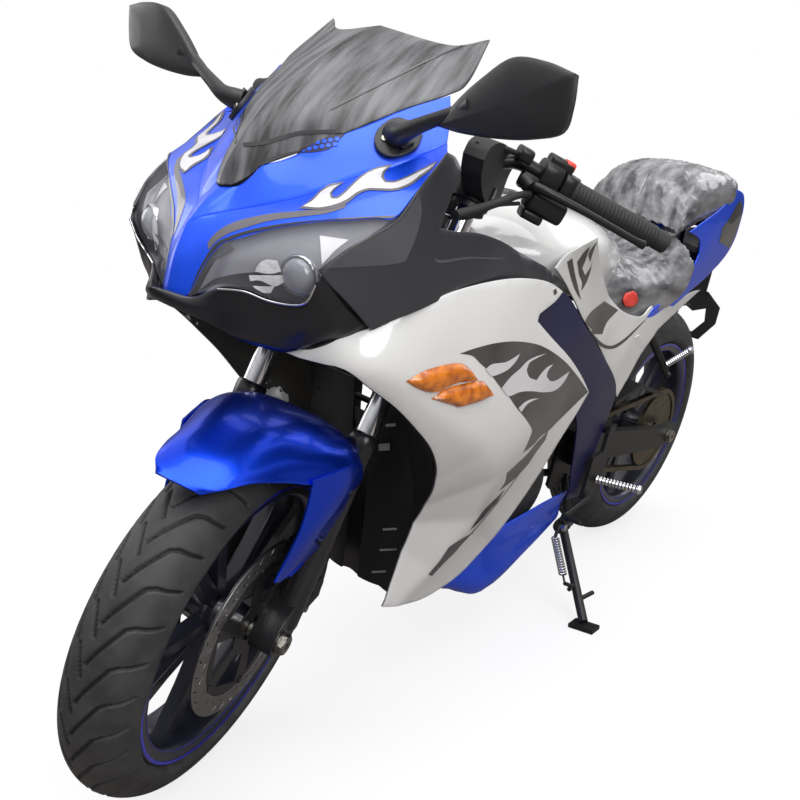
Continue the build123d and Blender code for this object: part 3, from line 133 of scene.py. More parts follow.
floor_mesh = bpy.data.meshes.new("floor")
floor_mesh.from_pydata([(-14, -14, 0), (14, -14, 0), (14, 14, 0), (-14, 14, 0)], [], [(0, 1, 2, 3)])
floor = bpy.data.objects.new("floor", floor_mesh)
bpy.context.scene.collection.objects.link(floor)
pale_floor = bpy.data.materials.new("pale_floor")
floor_mesh.materials.append(pale_floor)
pale_floor.use_nodes = True
ground = pale_floor.node_tree
floor_dim = ground.nodes["Principled BSDF"]
floor_dim.inputs["Base Color"].default_value = (0.20, 0.18, 0.165, 1)
floor_dim.inputs["Roughness"].default_value = 0.9
floor_pale, floor_glow = node(ground, "BsdfDiffuse", Color=(0.95, 0.95, 0.95, 1)), node(ground, "Emission")
floor_seen, floor_mix = node(ground, "MixShader"), node(ground, "MixShader")
floor_ray = node(ground, "LightPath")
floor_spot, floor_reach = node(ground, "TexCoord"), node(ground, "VectorMath")
floor_reach.operation = "LENGTH"
floor_share = node(ground, "MapRange", From_Min=0.9, From_Max=3.2, To_Min=0.78, To_Max=1.0)
wire(
    ground,
    (floor_spot.outputs["Object"], floor_reach.inputs[0]),
    (floor_reach.outputs["Value"], floor_share.inputs["Value"]),
    (floor_share.outputs[0], floor_seen.inputs[0]),
    (floor_pale.outputs[0], floor_seen.inputs[1]),
    (floor_glow.outputs[0], floor_seen.inputs[2]),
    (floor_ray.outputs["Is Camera Ray"], floor_mix.inputs[0]),
    (floor_dim.outputs[0], floor_mix.inputs[1]),
    (floor_seen.outputs[0], floor_mix.inputs[2]),
    (floor_mix.outputs[0], ground.nodes["Material Output"].inputs[0]),
)


# Tyres: 110 mm front and 140 mm rear on 17 inch rims, black rubber with long sickle-shaped grooves
# that sweep back from the middle on both sides, and a thin seam round the crown.
def coated(name, colour, rough, tint=None, spots=8, metal=0, coat=0, grain=0, fine=400, stretch=(1, 1, 1)):
    """A finish with uneven colour, a fine surface grain and uneven gloss, in the bike's own space."""
    material = bpy.data.materials.new(name)
    material.use_nodes = True
    tree = material.node_tree
    shader = tree.nodes["Principled BSDF"]
    for socket, value in (("Metallic", metal), ("Coat Weight", coat), ("Coat Roughness", 0.04)):
        shader.inputs[socket].default_value = value
    place, scaled = node(tree, "TexCoord"), node(tree, "Mapping", Scale=stretch)
    patches = node(tree, "TexNoise", Scale=spots, Detail=6)
    shade = ramp(tree, (0.35, tint or [c * 0.8 for c in colour]), (0.65, colour))
    gloss = node(tree, "MapRange", To_Min=rough * 0.85, To_Max=min(1, rough * 1.15))
    wire(
        tree,
        (place.outputs["Object"], scaled.inputs[0]),
        (scaled.outputs[0], patches.inputs["Vector"]),
        (patches.outputs["Fac"], shade.inputs[0]),
        (shade.outputs[0], shader.inputs["Base Color"]),
        (patches.outputs["Fac"], gloss.inputs[0]),
        (gloss.outputs[0], shader.inputs["Roughness"]),
    )
    if grain:
        pits = node(tree, "TexNoise", Scale=fine, Detail=4)
        bump = node(tree, "Bump", Strength=grain, Distance=0.001)
        wire(
            tree,
            (scaled.outputs[0], pits.inputs["Vector"]),
            (pits.outputs["Fac"], bump.inputs["Height"]),
            (bump.outputs[0], shader.inputs["Normal"]),
        )
    return material


def piece(name, shape, material, stands_for=None, body="chassis", thick=0, edge=0, crease=38):
    """A finished piece from bike millimetres: parked, painted, smoothed and riding on its body."""
    mesh = bpy.data.meshes.new(name)
    mesh.from_pydata(shape[0], [], shape[1])
    turned = to_left_stop if body in ("steering", "front_wheel") else Matrix.Identity(4)
    mesh.transform(parked @ turned @ Matrix.Scale(0.001, 4))
    mesh.materials.append(material)
    mesh.polygons.foreach_set("use_smooth", [True] * len(mesh.polygons))
    mesh.set_sharp_from_angle(angle=math.radians(crease))
    mesh.update()
    made = bpy.data.objects.new(name, mesh)
    bpy.context.scene.collection.objects.link(made)
    if thick:
        wall = made.modifiers.new("wall", "SOLIDIFY")
        wall.thickness, wall.offset = thick / 1000, -1
    if edge:
        soft = made.modifiers.new("soft_edge", "BEVEL")
        soft.width, soft.segments, soft.limit_method = edge / 1000, 2, "ANGLE"
        soft.angle_limit = math.radians(crease)
    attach(made, body)
    if stands_for:
        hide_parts(stands_for)
    return made


def grid_faces(rows, columns, closed_rows=False, closed_columns=False):
    """Quads over a grid of corners stored row by row."""
    faces = []
    for i in range(rows if closed_rows else rows - 1):
        for j in range(columns if closed_columns else columns - 1):
            a, b = i * columns + j, i * columns + (j + 1) % columns
            c, d = ((i + 1) % rows) * columns + (j + 1) % columns, ((i + 1) % rows) * columns + j
            faces.append((a, b, c, d))
    return faces


def polar(centre, radius, angle):
    """The (x, z) point at a radius and an angle round a centre."""
    return centre[0] + radius * math.cos(angle), centre[1] + radius * math.sin(angle)


FRONT_HUB, REAR_HUB = (1368, 293), (0, 314)
TREAD = (
    ((-6, -14), (2, 4), (14, 26), (24, 44), (34, 50), (48, 53), (66, 60)),
    ((-8, 22), (-18, 44), (-26, 60)),
    ((-34, 6), (-38, 22), (-44, 40)),
    ((-52, 46), (-60, 58), (-70, 70)),
)
GROOVE_HALF, GROOVE_SOFT, GROOVE_DEPTH, SEAM, ACROSS = 2.9, 1.1, 3.6, 0.5, 72


def tread(side, along, pitch):
    """Groove depth from 0 to 1 at millimetres to the left of the crown and along one pitch of the tread."""
    depth = np.zeros(np.broadcast(side, along).shape)
    for line in TREAD:
        for (u1, v1), (u2, v2) in zip(line, line[1:]):
            du, dv = u2 - u1, v2 - v1
            for lap in (-pitch, 0, pitch):
                share = np.clip(((side - u1) * du + (along - v1 - lap) * dv) / (du * du + dv * dv), 0, 1)
                gap = np.hypot(side - u1 - share * du, along - v1 - lap - share * dv)
                depth = np.maximum(depth, np.clip((GROOVE_HALF - gap) / GROOVE_SOFT, 0, 1))
    return depth


rubber = coated("front_rubber", (0.045, 0.044, 0.046), 0.6, (0.024, 0.024, 0.025), 30, grain=0.35, fine=900)
rubber_tree = rubber.node_tree
# Painted shade: the rubber colour is darkened to near black where the grooves are deep, in step with their
# depth.
groove_depth, groove_painted_shade_mix = node(rubber_tree, "Attribute"), node(rubber_tree, "MixRGB")
groove_depth.attribute_name = "groove"
groove_painted_shade_mix.inputs[2].default_value = (0.004, 0.004, 0.004, 1)
rubber_paint = rubber_tree.nodes["Principled BSDF"].inputs["Base Color"]
wire(
    rubber_tree,
    (rubber_paint.links[0].from_socket, groove_painted_shade_mix.inputs[1]),
    (groove_depth.outputs["Fac"], groove_painted_shade_mix.inputs[0]),
    (groove_painted_shade_mix.outputs[0], rubber_paint),
)
for tyre_name, body, centre, radius, half, steps, pitches in (
    ("front_tyre", "front_wheel", FRONT_HUB, 293, 55, 1040, 34),
    ("rear_tyre", "rear_wheel", REAR_HUB, 314, 70, 780, 30),
):
    crown = radius - half
    wall = [(217.3, 15 - half), (228, 15 - half), (231.5, 8 - half), ((231 + crown) / 2, 1.5 - half)]
    slopes = np.linspace(-math.pi / 2, math.pi / 2, ACROSS + 1)
    turns = np.arange(steps) * 2 * math.pi / steps
    pitch = 2 * math.pi * radius / pitches
    depths = tread((slopes * half)[None, :], (turns * radius % pitch)[:, None], pitch)
    corners = []
    for turn, cuts in zip(turns, GROOVE_DEPTH * depths):
        ring = list(wall)
        for j, slope in enumerate(slopes):
            raised = half - cuts[j] + (SEAM if j == ACROSS // 2 else 0)
            ring.append((crown + raised * math.cos(slope), (half - cuts[j]) * math.sin(slope)))
        ring += [(r, -y) for r, y in reversed(wall)]
        for r, y in ring:
            x, z = polar(centre, r, turn)
            corners.append((x, y, z))
    shape = corners, grid_faces(steps, len(ring), True, True)
    tyre = piece(tyre_name + "_rubber", shape, rubber, tyre_name, body, crease=60)
    # Groove depth for each corner, which the rubber reads to paint shade into the grooves.
    marks = np.zeros((steps, len(ring)))
    marks[:, len(wall) : len(wall) + ACROSS + 1] = depths
    tyre.data.attributes.new("groove", "FLOAT", "POINT").data.foreach_set("value", marks.ravel())

# Wheels: cast aluminium, painted black, with five split spokes and a blue line round the edge of the rim.
rim_black = coated("rim_black", (0.018, 0.019, 0.035), 0.3, (0.012, 0.012, 0.02), coat=0.5, grain=0.1)
blue_line = coated("blue_line", (0.02, 0.03, 0.55), 0.3, (0.015, 0.02, 0.4), coat=0.6)


def joined(*shapes):
    """Several shapes as one."""
    corners, faces = [], []
    for more_corners, more_faces in shapes:
        base = len(corners)
        corners.extend(tuple(c) for c in more_corners)
        faces.extend(tuple(i + base for i in f) for f in more_faces)
    return corners, faces


def other_side(shape):
    """The same shape on the right of the bike."""
    corners, faces = shape
    return [(x, -y, z) for x, y, z in corners], [f[::-1] for f in faces]


def both(*shapes):
    """Some shapes and their likes on the right."""
    left = joined(*shapes)
    return joined(left, other_side(left))


def turned_on_axle(profile, centre, steps):
    """A profile of (radius, y) turned about an axle along Y through (x, z)."""
    corners = []
    for i in range(steps):
        for radius, y in profile:
            x, z = polar(centre, radius, 2 * math.pi * i / steps)
            corners.append((x, y, z))
    return corners, grid_faces(steps, len(profile), True, True)


def inside(point, loop):
    """Whether a flat point lies inside a closed outline."""
    x, z = point
    odd = False
    for (x1, z1), (x2, z2) in zip(loop, loop[1:] + loop[:1]):
        if (z1 > z) != (z2 > z) and x < (x2 - x1) * (z - z1) / (z2 - z1) + x1:
            odd = not odd
    return odd


def filled(loops, inner=()):
    """Flat triangles, clockwise, inside the first outline and outside the others, with extra points."""
    flat, edges = [], []
    for loop in loops:
        base = len(flat)
        flat += [Vector(p) for p in loop]
        edges += [(base + i, base + (i + 1) % len(loop)) for i in range(len(loop))]
    flat += [Vector(p) for p in inner]
    corners, _, faces, *_ = geometry.delaunay_2d_cdt(flat, edges, [], 0, 1e-4)
    kept = []
    for face in faces:
        middle = sum((corners[i] for i in face), Vector((0, 0))) / len(face)
        if inside(middle, loops[0]) and not any(inside(middle, hole) for hole in loops[1:]):
            a, b, c = (corners[i] for i in face[:3])
            kept.append(tuple(face) if (b - a).cross(c - a) < 0 else tuple(face[::-1]))
    return [tuple(c) for c in corners], kept


def plate(loops, low, high):
    """A flat plate across Y, cut to an outline of (x, z) points, with holes."""
    flat, faces = filled(loops)
    count = len(flat)
    corners = [(x, high, z) for x, z in flat] + [(x, low, z) for x, z in flat]
    walls = {}
    for face in faces:
        for a, b in zip(face, face[1:] + face[:1]):
            if walls.pop((b, a), None) is None:
                walls[(a, b)] = (b, a, a + count, b + count)
    return corners, faces + [tuple(i + count for i in face[::-1]) for face in faces] + list(walls.values())


WELL_RADIUS, SPOKE_ROOT, SPOKE_TIP, SPOKE_SPLIT, SPOKE_TURN = 201, 28, 206, math.radians(11), math.radians(5)
ROOT_HALF, MIDDLE_HALF, TIP_HALF, SPOKE_THICK = 12, 10, 16, 24
for wheel, centre, bead, hub, blue_y in (
    ("front", FRONT_HUB, 41, 59, 46.4),
    ("rear", REAR_HUB, 56, 77, 61.4),
):
    lip = bead + 5
    barrel = [(203, bead - 9), (207, bead + 1), (214, lip), (227, lip)]
    barrel += [(229.5, bead + 4), (229, bead + 1), (217, bead)]
    barrel = [(r, -y) for r, y in reversed(barrel)] + [(WELL_RADIUS, 0)] + barrel
    boss = [(38, 13), (30, 24), (26, hub - 8), (22, hub), (9.05, hub)]
    boss = [(r, -y) for r, y in reversed(boss)] + boss
    parts = [turned_on_axle(barrel, centre, 128), turned_on_axle(boss, centre, 64)]
    for spoke in range(5):
        for lean in (-SPOKE_SPLIT, SPOKE_SPLIT):
            turn = 2 * math.pi * spoke / 5 - SPOKE_TURN
            root = Vector(polar(centre, SPOKE_ROOT, turn + lean / 3))
            tip = Vector(polar(centre, SPOKE_TIP, turn + lean))
            aside = (tip - root).orthogonal().normalized()
            widths = ((root, ROOT_HALF), (root.lerp(tip, 0.5), MIDDLE_HALF), (tip, TIP_HALF))
            loop = [spot - aside * half for spot, half in widths]
            loop += [spot + aside * half for spot, half in reversed(widths)]
            parts.append(plate([[tuple(p) for p in loop]], -SPOKE_THICK / 2, SPOKE_THICK / 2))
    shape, body = joined(*parts), wheel + "_wheel"
    piece(wheel + "_cast_wheel", shape, rim_black, wheel + "_rim", body, edge=2.0, crease=40)
    outer = [(226.5, blue_y), (226.5, blue_y + 0.5), (222, blue_y + 0.5), (222, blue_y)]
    inner = [(204.6, bead - 8), (208.6, bead + 2), (208, bead + 2), (204, bead - 8)]
    lines = both(turned_on_axle(outer, centre, 128), turned_on_axle(inner, centre, 128))
    piece(wheel + "_blue_line", lines, blue_line, body=body)

# Brake discs: slotted steel rings on black carriers, each with six windows and six rivets.
steel, steel_tint = (0.42, 0.42, 0.43), (0.28, 0.28, 0.29)
disc_steel = coated("disc_steel", steel, 0.32, steel_tint, 40, 1, 0, 0.25, 60, (1, 12, 1))
carrier_black = coated("carrier_black", (0.03, 0.03, 0.032), 0.35, metal=0.4, grain=0.2)


def round_loop(centre, radius, steps=24, start=0.0):
    """A circle as an outline of (x, z) points."""
    return [polar(centre, radius, start + 2 * math.pi * i / steps) for i in range(steps)]


BAND_WIDTH, SLOTS, WINDOWS = 34, 30, 6
for disc_name, body, centre, radius, places in (
    ("front_brake_discs", "front_wheel", FRONT_HUB, 143.5, ((60, 64), (-64, -60))),
    ("rear_brake_disc", "rear_wheel", REAR_HUB, 110, ((-82, -78),)),
):
    band = radius - BAND_WIDTH
    rings, carriers = [], []
    for low, high in places:
        holes, windows = [round_loop(centre, band + 1, 72)], [round_loop(centre, 20, 36)]
        for row, skew, offset in ((radius - 9, 0.030, 0), (radius - 21, -0.030, 0.5)):
            slot = [(4.4, skew - 0.011), (4.4, skew + 0.011), (-4.4, 0.012 - skew), (-4.4, -0.012 - skew)]
            for i in range(SLOTS):
                turn = 2 * math.pi * (i + offset) / SLOTS
                holes.append([polar(centre, row + r, turn + a) for r, a in slot])
        rings.append(plate([round_loop(centre, radius, 160)] + holes, low, high))
        for i in range(WINDOWS):
            wedge = [(46, -0.30), (band - 10, -0.36), (band - 10, 0.36), (46, 0.30)]
            windows.append([polar(centre, r, 2 * math.pi * i / WINDOWS + a) for r, a in wedge])
        carriers.append(plate([round_loop(centre, band + 0.5, 96)] + windows, low + 0.6, high - 0.6))
        face = high if high > 0 else low
        for i in range(WINDOWS):
            rivet = polar(centre, band - 3, 2 * math.pi * (i + 0.5) / WINDOWS)
            carriers.append(plate([round_loop(rivet, 6, 20)], face - 1.6, face + 1.6))
    piece(disc_name + "_ring", joined(*rings), disc_steel, disc_name, body, edge=0.5)
    piece(disc_name + "_carrier", joined(*carriers), carrier_black, body=body, edge=0.5)

# Axles: hollow steel, with a washer and a six-sided nut outside each leg.
axle_steel = coated("axle_steel", (0.45, 0.43, 0.38), 0.3, (0.3, 0.29, 0.26), 60, 1, grain=0.2)


def repaint(material, *nodes):
    """Gives CAD nodes that already have the right shape their real finish."""
    for name in nodes:
        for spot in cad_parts[name].material_slots:
            spot.material = material


repaint(axle_steel, "front_axle", "rear_axle")
for nut_name, body, centre, outer in (
    ("front_axle_nuts", "steering", FRONT_HUB, 114.4),
    ("rear_axle_nuts", "chassis", REAR_HUB, 132.4),
):
    washer = plate([round_loop(centre, 17.5, 32), round_loop(centre, 15.2, 32)], outer, outer + 2.2)
    nut = plate([round_loop(centre, 18, 6, 0.4), round_loop(centre, 15.1, 32)], outer + 2.4, outer + 10)
    piece(nut_name, both(washer, nut), axle_steel, body=body, edge=0.8)

# Fork: chrome tubes that run in black sliders with a cast lug for the axle and a dust cap on top.
chrome = coated("chrome", (0.82, 0.82, 0.84), 0.1, (0.7, 0.7, 0.72), 12, 1, stretch=(6, 6, 1))
slider_black = coated("slider_black", (0.02, 0.02, 0.022), 0.28, metal=0.3, coat=0.3, grain=0.08)
repaint(chrome, "fork_tubes")


def eased(p0, p1, p2, p3, t):
    """A point at share t of a smooth curve from p1 to p2, between p0 and p3."""
    square, cube = 2 * p0 - 5 * p1 + 4 * p2 - p3, 3 * p1 - p0 - 3 * p2 + p3
    return 0.5 * (2 * p1 + (p2 - p0) * t + square * t**2 + cube * t**3)


def smooth_closed(points, step=6.0, corner=48):
    """A closed outline with evenly spaced points, smooth except where it turns sharply."""
    count = len(points)
    pts = [Vector(p) for p in points]
    sharp = []
    for i in range(count):
        before, after = pts[i] - pts[i - 1], pts[(i + 1) % count] - pts[i]
        sharp.append(before.angle(after, 0) > math.radians(corner))
    line = []
    for i in range(count):
        p1, p2 = pts[i], pts[(i + 1) % count]
        p0 = p1 * 2 - p2 if sharp[i] else pts[i - 1]
        p3 = p2 * 2 - p1 if sharp[(i + 1) % count] else pts[(i + 2) % count]
        parts = max(1, round((p2 - p1).length / step))
        line += [tuple(eased(p0, p1, p2, p3, k / parts)) for k in range(parts)]
    return line


def steer_point(along, ahead, side):
    """A point by its distance up the steering line, ahead of it and to the left."""
    back, up = ahead * RAKE_UP - along * RAKE_BACK, along * RAKE_UP + ahead * RAKE_BACK
    return Vector((RAKE_FOOT + back, side, up))


def capped(corners, sides):
    """Walls round rings of corners stored one after the other, and both ends."""
    faces = [f[::-1] for f in grid_faces(len(corners) // sides, sides, False, True)]
    last = len(corners) - 1
    return corners, faces + [tuple(range(sides)), tuple(range(last, last - sides, -1))]


TUBE_STEP = 6


def tube(points, radius, sides=20, smooth=True):
    """A round bar along a path, with one radius or one for each point."""
    path = [Vector(p) for p in points]
    sizes = list(radius) if isinstance(radius, (list, tuple)) else [radius] * len(path)
    if smooth and len(path) > 2:
        pts, radii, last = path, sizes, len(path) - 1
        path, sizes = [], []
        for i in range(last):
            p1, p2 = pts[i], pts[i + 1]
            parts = max(1, round((p2 - p1).length / TUBE_STEP))
            for k in range(parts):
                path.append(eased(pts[max(i - 1, 0)], p1, p2, pts[min(i + 2, last)], k / parts))
                sizes.append(radii[i] + (radii[i + 1] - radii[i]) * k / parts)
        path.append(pts[-1])
        sizes.append(radii[-1])
    corners = []
    across = (path[1] - path[0]).normalized().orthogonal()
    for i, (point, size) in enumerate(zip(path, sizes)):
        run = (path[min(i + 1, len(path) - 1)] - path[max(i - 1, 0)]).normalized()
        across = (across - run * across.dot(run)).normalized()
        third = run.cross(across)
        for k in range(sides):
            angle = 2 * math.pi * k / sides
            corners.append(tuple(point + (across * math.cos(angle) + third * math.sin(angle)) * size))
    return capped(corners, sides)


SLIDER_TURNING = (
    (322, 20), (330, 21.5), (380, 21.5), (400, 22), (560, 22), (600, 22), (606, 22), (610, 23),
    (622, 23.5), (634, 23.5), (640, 21),
)
FORK_AHEAD, FORK_SIDE, AXLE_RADIUS = 26, 99, 9.05
leg_line = [steer_point(along, FORK_AHEAD, FORK_SIDE) for along, _ in SLIDER_TURNING]
leg = tube(leg_line, [radius for _, radius in SLIDER_TURNING], 36, False)
lug = smooth_closed(
    [
        (1392, 293), (1385, 311), (1366, 330), (1345, 340), (1322, 345), (1318, 320), (1332, 290),
        (1348, 274), (1368, 269), (1385, 276),
    ],
    3,
)
slider = both(leg, plate([lug, round_loop(FRONT_HUB, AXLE_RADIUS, 32)], 73, 114))
piece("fork_sliders_cast", slider, slider_black, "fork_sliders", "steering", 0, 2.2, 42)

# Front mudguard: one glossy blue moulding that arches over the tyre, with a rolled lip, and a blade
# on each side that reaches down and forward outside the fork and is bolted to it.
blue_tint, guard_tint = (0.007, 0.08, 0.88), (0.005, 0.06, 0.84)
blue_paint = coated("blue_paint", (0.008, 0.095, 0.98), 0.34, blue_tint, 3, 0.42, 0.35, 0.03, 1500)
mudguard_blue = coated("mudguard_blue", (0.006, 0.075, 0.95), 0.27, guard_tint, 3, 0.88, 0.25)


def smooth_run(points, parts):
    """A smooth line through a few points, in equal parts between each two."""
    pts = [Vector(p) for p in points]
    line = []
    for i in range(len(pts) - 1):
        p1, p2 = pts[i], pts[i + 1]
        p0 = pts[i - 1] if i else p1 * 2 - p2
        p3 = pts[i + 2] if i + 2 < len(pts) else p2 * 2 - p1
        line += [eased(p0, p1, p2, p3, k / parts) for k in range(parts)]
    return line + [pts[-1]]


def skin(rows, parts, rows_parts):
    """A smooth skin through rows of points."""
    lines = [smooth_run(row, parts) for row in rows]
    columns = [smooth_run(column, rows_parts) for column in zip(*lines)]
    corners = [tuple(columns[j][i]) for i in range(len(columns[0])) for j in range(len(columns))]
    return corners, grid_faces(len(columns[0]), len(columns))


def flipped(shape):
    """The same shape with its faces turned the other way."""
    corners, faces = shape
    return corners, [f[::-1] for f in faces]


TYRE_RADIUS, ARCH_SHARES = 293, (-1, -0.97, -0.8, -0.45, 0, 0.45, 0.8, 0.97, 1)
arch_rows = []
for degrees, half, clear, drop in (
    (63, 30, 38, -3), (67, 50, 38, 5), (74, 66, 39, 22), (84, 86, 40, 48), (92, 104, 40, 60),
    (103, 118, 40, 52), (114, 124, 38, 42), (126, 110, 32, 40),
):
    arch_rows.append([])
    for share in ARCH_SHARES:
        fall = drop * (0.25 * share**2 + 0.75 * abs(share) ** 4.2)
        x, z = polar(FRONT_HUB, TYRE_RADIUS + clear - fall, math.radians(degrees))
        arch_rows[-1].append((x, share * half, z))
arch = skin(arch_rows, 5, 6)
piece("front_mudguard_arch", arch, mudguard_blue, "front_mudguard", "steering", 3.2, 0.8)
BLADE = (
    [(1366, 104, 575), (1322, 114, 574), (1285, 121, 572), (1248, 125, 556)],
    [(1368, 106, 540), (1330, 118, 540), (1290, 125, 540), (1236, 125, 530)],
    [(1376, 107, 500), (1345, 117, 500), (1305, 122, 502), (1262, 123, 512)],
    [(1386, 104, 465), (1362, 110, 462), (1325, 114, 462), (1258, 117, 478)],
    [(1397, 102, 440), (1380, 104, 428), (1350, 105, 418), (1298, 108, 425)],
    [(1407, 102, 424), (1400, 102, 420), (1392, 102, 416), (1378, 102, 414)],
)
blades = both(flipped(skin(BLADE, 5, 5)))
piece("front_mudguard_blades", blades, mudguard_blue, None, "steering", 3.0, 1.0, 30)
bolt_black = coated("bolt_black", (0.05, 0.05, 0.052), 0.35, (0.03, 0.03, 0.03), metal=0.7)
bolts = [plate([round_loop((x, z), 6.5, 24)], y, y + 6) for x, y, z in ((1268, 121, 520), (1312, 113, 452))]
piece("front_mudguard_bolts", both(*bolts), bolt_black, body="steering", edge=1.2)

# Front calipers: black two-piston castings behind the legs, with two bolts and a pad pin each.
caliper_black = coated("caliper_black", (0.028, 0.028, 0.03), 0.42, metal=0.5, grain=0.35, fine=260)
caliper_loop = smooth_closed([
    (1200, 268), (1262, 262), (1272, 330), (1270, 373), (1272, 403), (1222, 398), (1198, 330),
], 5, 60)
bridge_loop = [(1202, 272), (1214, 270), (1214, 396), (1222, 398), (1199, 330)]
caliper = [plate([caliper_loop], 66.5, 94), plate([caliper_loop], 48.5, 57.5), plate([bridge_loop], 56, 67)]
caliper += [plate([round_loop(spot, 18, 32)], 93, 97) for spot in ((1222, 300), (1224, 352))]
caliper = both(*caliper)
piece("front_calipers_cast", caliper, caliper_black, "front_calipers", "steering", 0, 2)
pins = [plate([round_loop(spot, 6, 6)], 93, 100) for spot in ((1254, 275), (1262, 388), (1212, 382))]
piece("front_caliper_bolts", both(*pins), axle_steel, body="steering", edge=0.6)

# Main side fairings: glossy white mouldings, widest at the knee, folded in along the front edge,
# with charcoal and pale flame flashes and a dark lining.
white_paint = coated("white_paint", (0.80, 0.80, 0.79), 0.25, (0.77, 0.77, 0.765), 2.5, 0, 1.0, 0.02, 900)
charcoal_flash = coated("charcoal_flash", (0.028, 0.026, 0.026), 0.3, (0.075, 0.07, 0.072), 9, coat=0.9)
pale_flash = coated("pale_flash", (0.72, 0.70, 0.73), 0.3, (0.66, 0.65, 0.68), 9, coat=0.9)
liner_dark = coated("liner_dark", (0.030, 0.026, 0.020), 0.6, (0.016, 0.014, 0.012), 12)


def past_line(x, z, line):
    """Signed distance of a point from a line of points: above zero on its left-hand side."""
    best, sign = 1e9, 1
    for (x1, z1), (x2, z2) in zip(line, line[1:]):
        dx, dz = x2 - x1, z2 - z1
        share = max(0, min(1, ((x - x1) * dx + (z - z1) * dz) / (dx * dx + dz * dz)))
        gap = math.hypot(x - x1 - share * dx, z - z1 - share * dz)
        if gap < best - 1e-6:
            best, sign = gap, 1 if dx * (z - z1) - dz * (x - x1) > 0 else -1
    return best * sign


def moulded(heights, fold=(), slope=0.0, soft=1.0):
    """How far out a moulding is at (x, z): smooth through its table, less a soft fold past a line."""
    spots = np.array([(x, z) for x, z, y in heights], float)
    reach = np.array([y for x, z, y in heights], float)
    count = len(spots)

    def bend(distance):
        scaled = np.maximum(distance, 1e-6) / 1000
        return scaled**2 * np.log(scaled)

    gaps = np.hypot(spots[:, None, 0] - spots[None, :, 0], spots[:, None, 1] - spots[None, :, 1])
    system = np.zeros((count + 3, count + 3))
    system[:count, :count] = bend(gaps) + 1e-5 * np.eye(count)
    system[:count, count] = system[count, :count] = 1
    system[:count, count + 1 :] = spots / 1000
    system[count + 1 :, :count] = spots.T / 1000
    weights = np.linalg.solve(system, np.r_[reach, 0, 0, 0])

    def reach_at(x, z):
        bends = bend(np.hypot(x - spots[:, 0], z - spots[:, 1]))
        y = float(bends @ weights[:count] + weights[count:] @ (1, x / 1000, z / 1000))
        if fold:
            y -= slope * soft * math.log1p(math.exp(min(30, past_line(x, z, fold) / soft)))
        return y

    return reach_at


def laid_out(loop, cell, first, clear):
    """Grid points inside an outline, in staggered rows if they start at its edge, clear of the edge."""
    xs, ys = [p[0] for p in loop], [p[1] for p in loop]
    spots = []
    for i in range(int((max(xs) - min(xs)) / cell) + 1):
        for j in range(int((max(ys) - min(ys)) / cell) + 1):
            shift = first or (0.5 if j % 2 else 0)
            spot = (min(xs) + (i + shift) * cell, min(ys) + (j + first) * cell)
            if inside(spot, loop) and min((spot[0] - x) ** 2 + (spot[1] - y) ** 2 for x, y in loop) > clear:
                spots.append(spot)
    return spots


def moulding(outline, reach_at, cell=9.0, out=0.0, step=6.0):
    """The skin of a side moulding over an outline of (x, z) points, bent to its reach."""
    loop = smooth_closed(outline, step)
    flat, faces = filled([loop], laid_out(loop, cell, 0, (cell * 0.45) ** 2))
    return [(x, reach_at(x, z) + out, z) for x, z in flat], faces


def panel(name, outline, reach_at, material, stands_for, edge=0.8, thick=3.2):
    """A side moulding and its like on the right."""
    piece(name, both(moulding(outline, reach_at)), material, stands_for, "chassis", thick, edge, 50)


def flashes(name, outlines, reach_at, out, material=charcoal_flash, cell=9, step=3):
    """Thin skins of another colour laid on a moulding and its like on the right."""
    skins = [moulding(loop, reach_at, cell, out, step) for loop in outlines]
    piece(name, both(*skins), material)


fairing_reach = moulded(
    (
        (1361, 727, 123), (1350, 734, 145), (1335, 750, 174), (1324, 757, 183), (1300, 772, 200),
        (1330, 724, 192), (1300, 702, 218), (1250, 740, 236), (1236, 800, 226), (1112, 830, 238),
        (1200, 700, 247), (1195, 630, 250), (1160, 560, 252), (1150, 420, 222), (1127, 262, 164),
        (1040, 690, 257), (990, 612, 258), (1110, 757, 252), (1060, 800, 247), (878, 757, 246),
        (826, 690, 250), (768, 612, 246), (913, 800, 240), (985, 560, 254), (798, 570, 243),
        (1060, 420, 212), (965, 420, 206), (1100, 262, 156),
    ),
    [(1326, 725), (1262, 694), (1169, 637), (1075, 574), (1006, 501), (982, 404), (1026, 306), (1092, 251)],
    0.55,
    7.0,
)
FAIRING = [
    (1356, 725), (1335, 750), (1324, 758), (1303, 770), (1257, 793), (1189, 815), (1112, 825), (1044, 826),
    (973, 817), (930, 804), (912, 796), (934, 783), (979, 770), (983, 760), (933, 729), (863, 687),
    (797, 641), (756, 608), (772, 580), (805, 524), (824, 459), (841, 396), (862, 338), (891, 293),
    (925, 254), (968, 235), (1019, 230), (1081, 246), (1123, 259), (1103, 329), (1093, 377), (1091, 438),
    (1106, 487), (1127, 529), (1151, 564), (1180, 599), (1216, 633), (1256, 668), (1297, 698), (1326, 721),
    (1337, 722), (1349, 722),
]
lining = both(flipped(moulding(FAIRING, fairing_reach, 14, -4.2)))
piece("side_fairings_lining", lining, liner_dark, crease=50)
panel("side_fairings_white", FAIRING, fairing_reach, white_paint, "side_fairings", 0.7, 3.4)
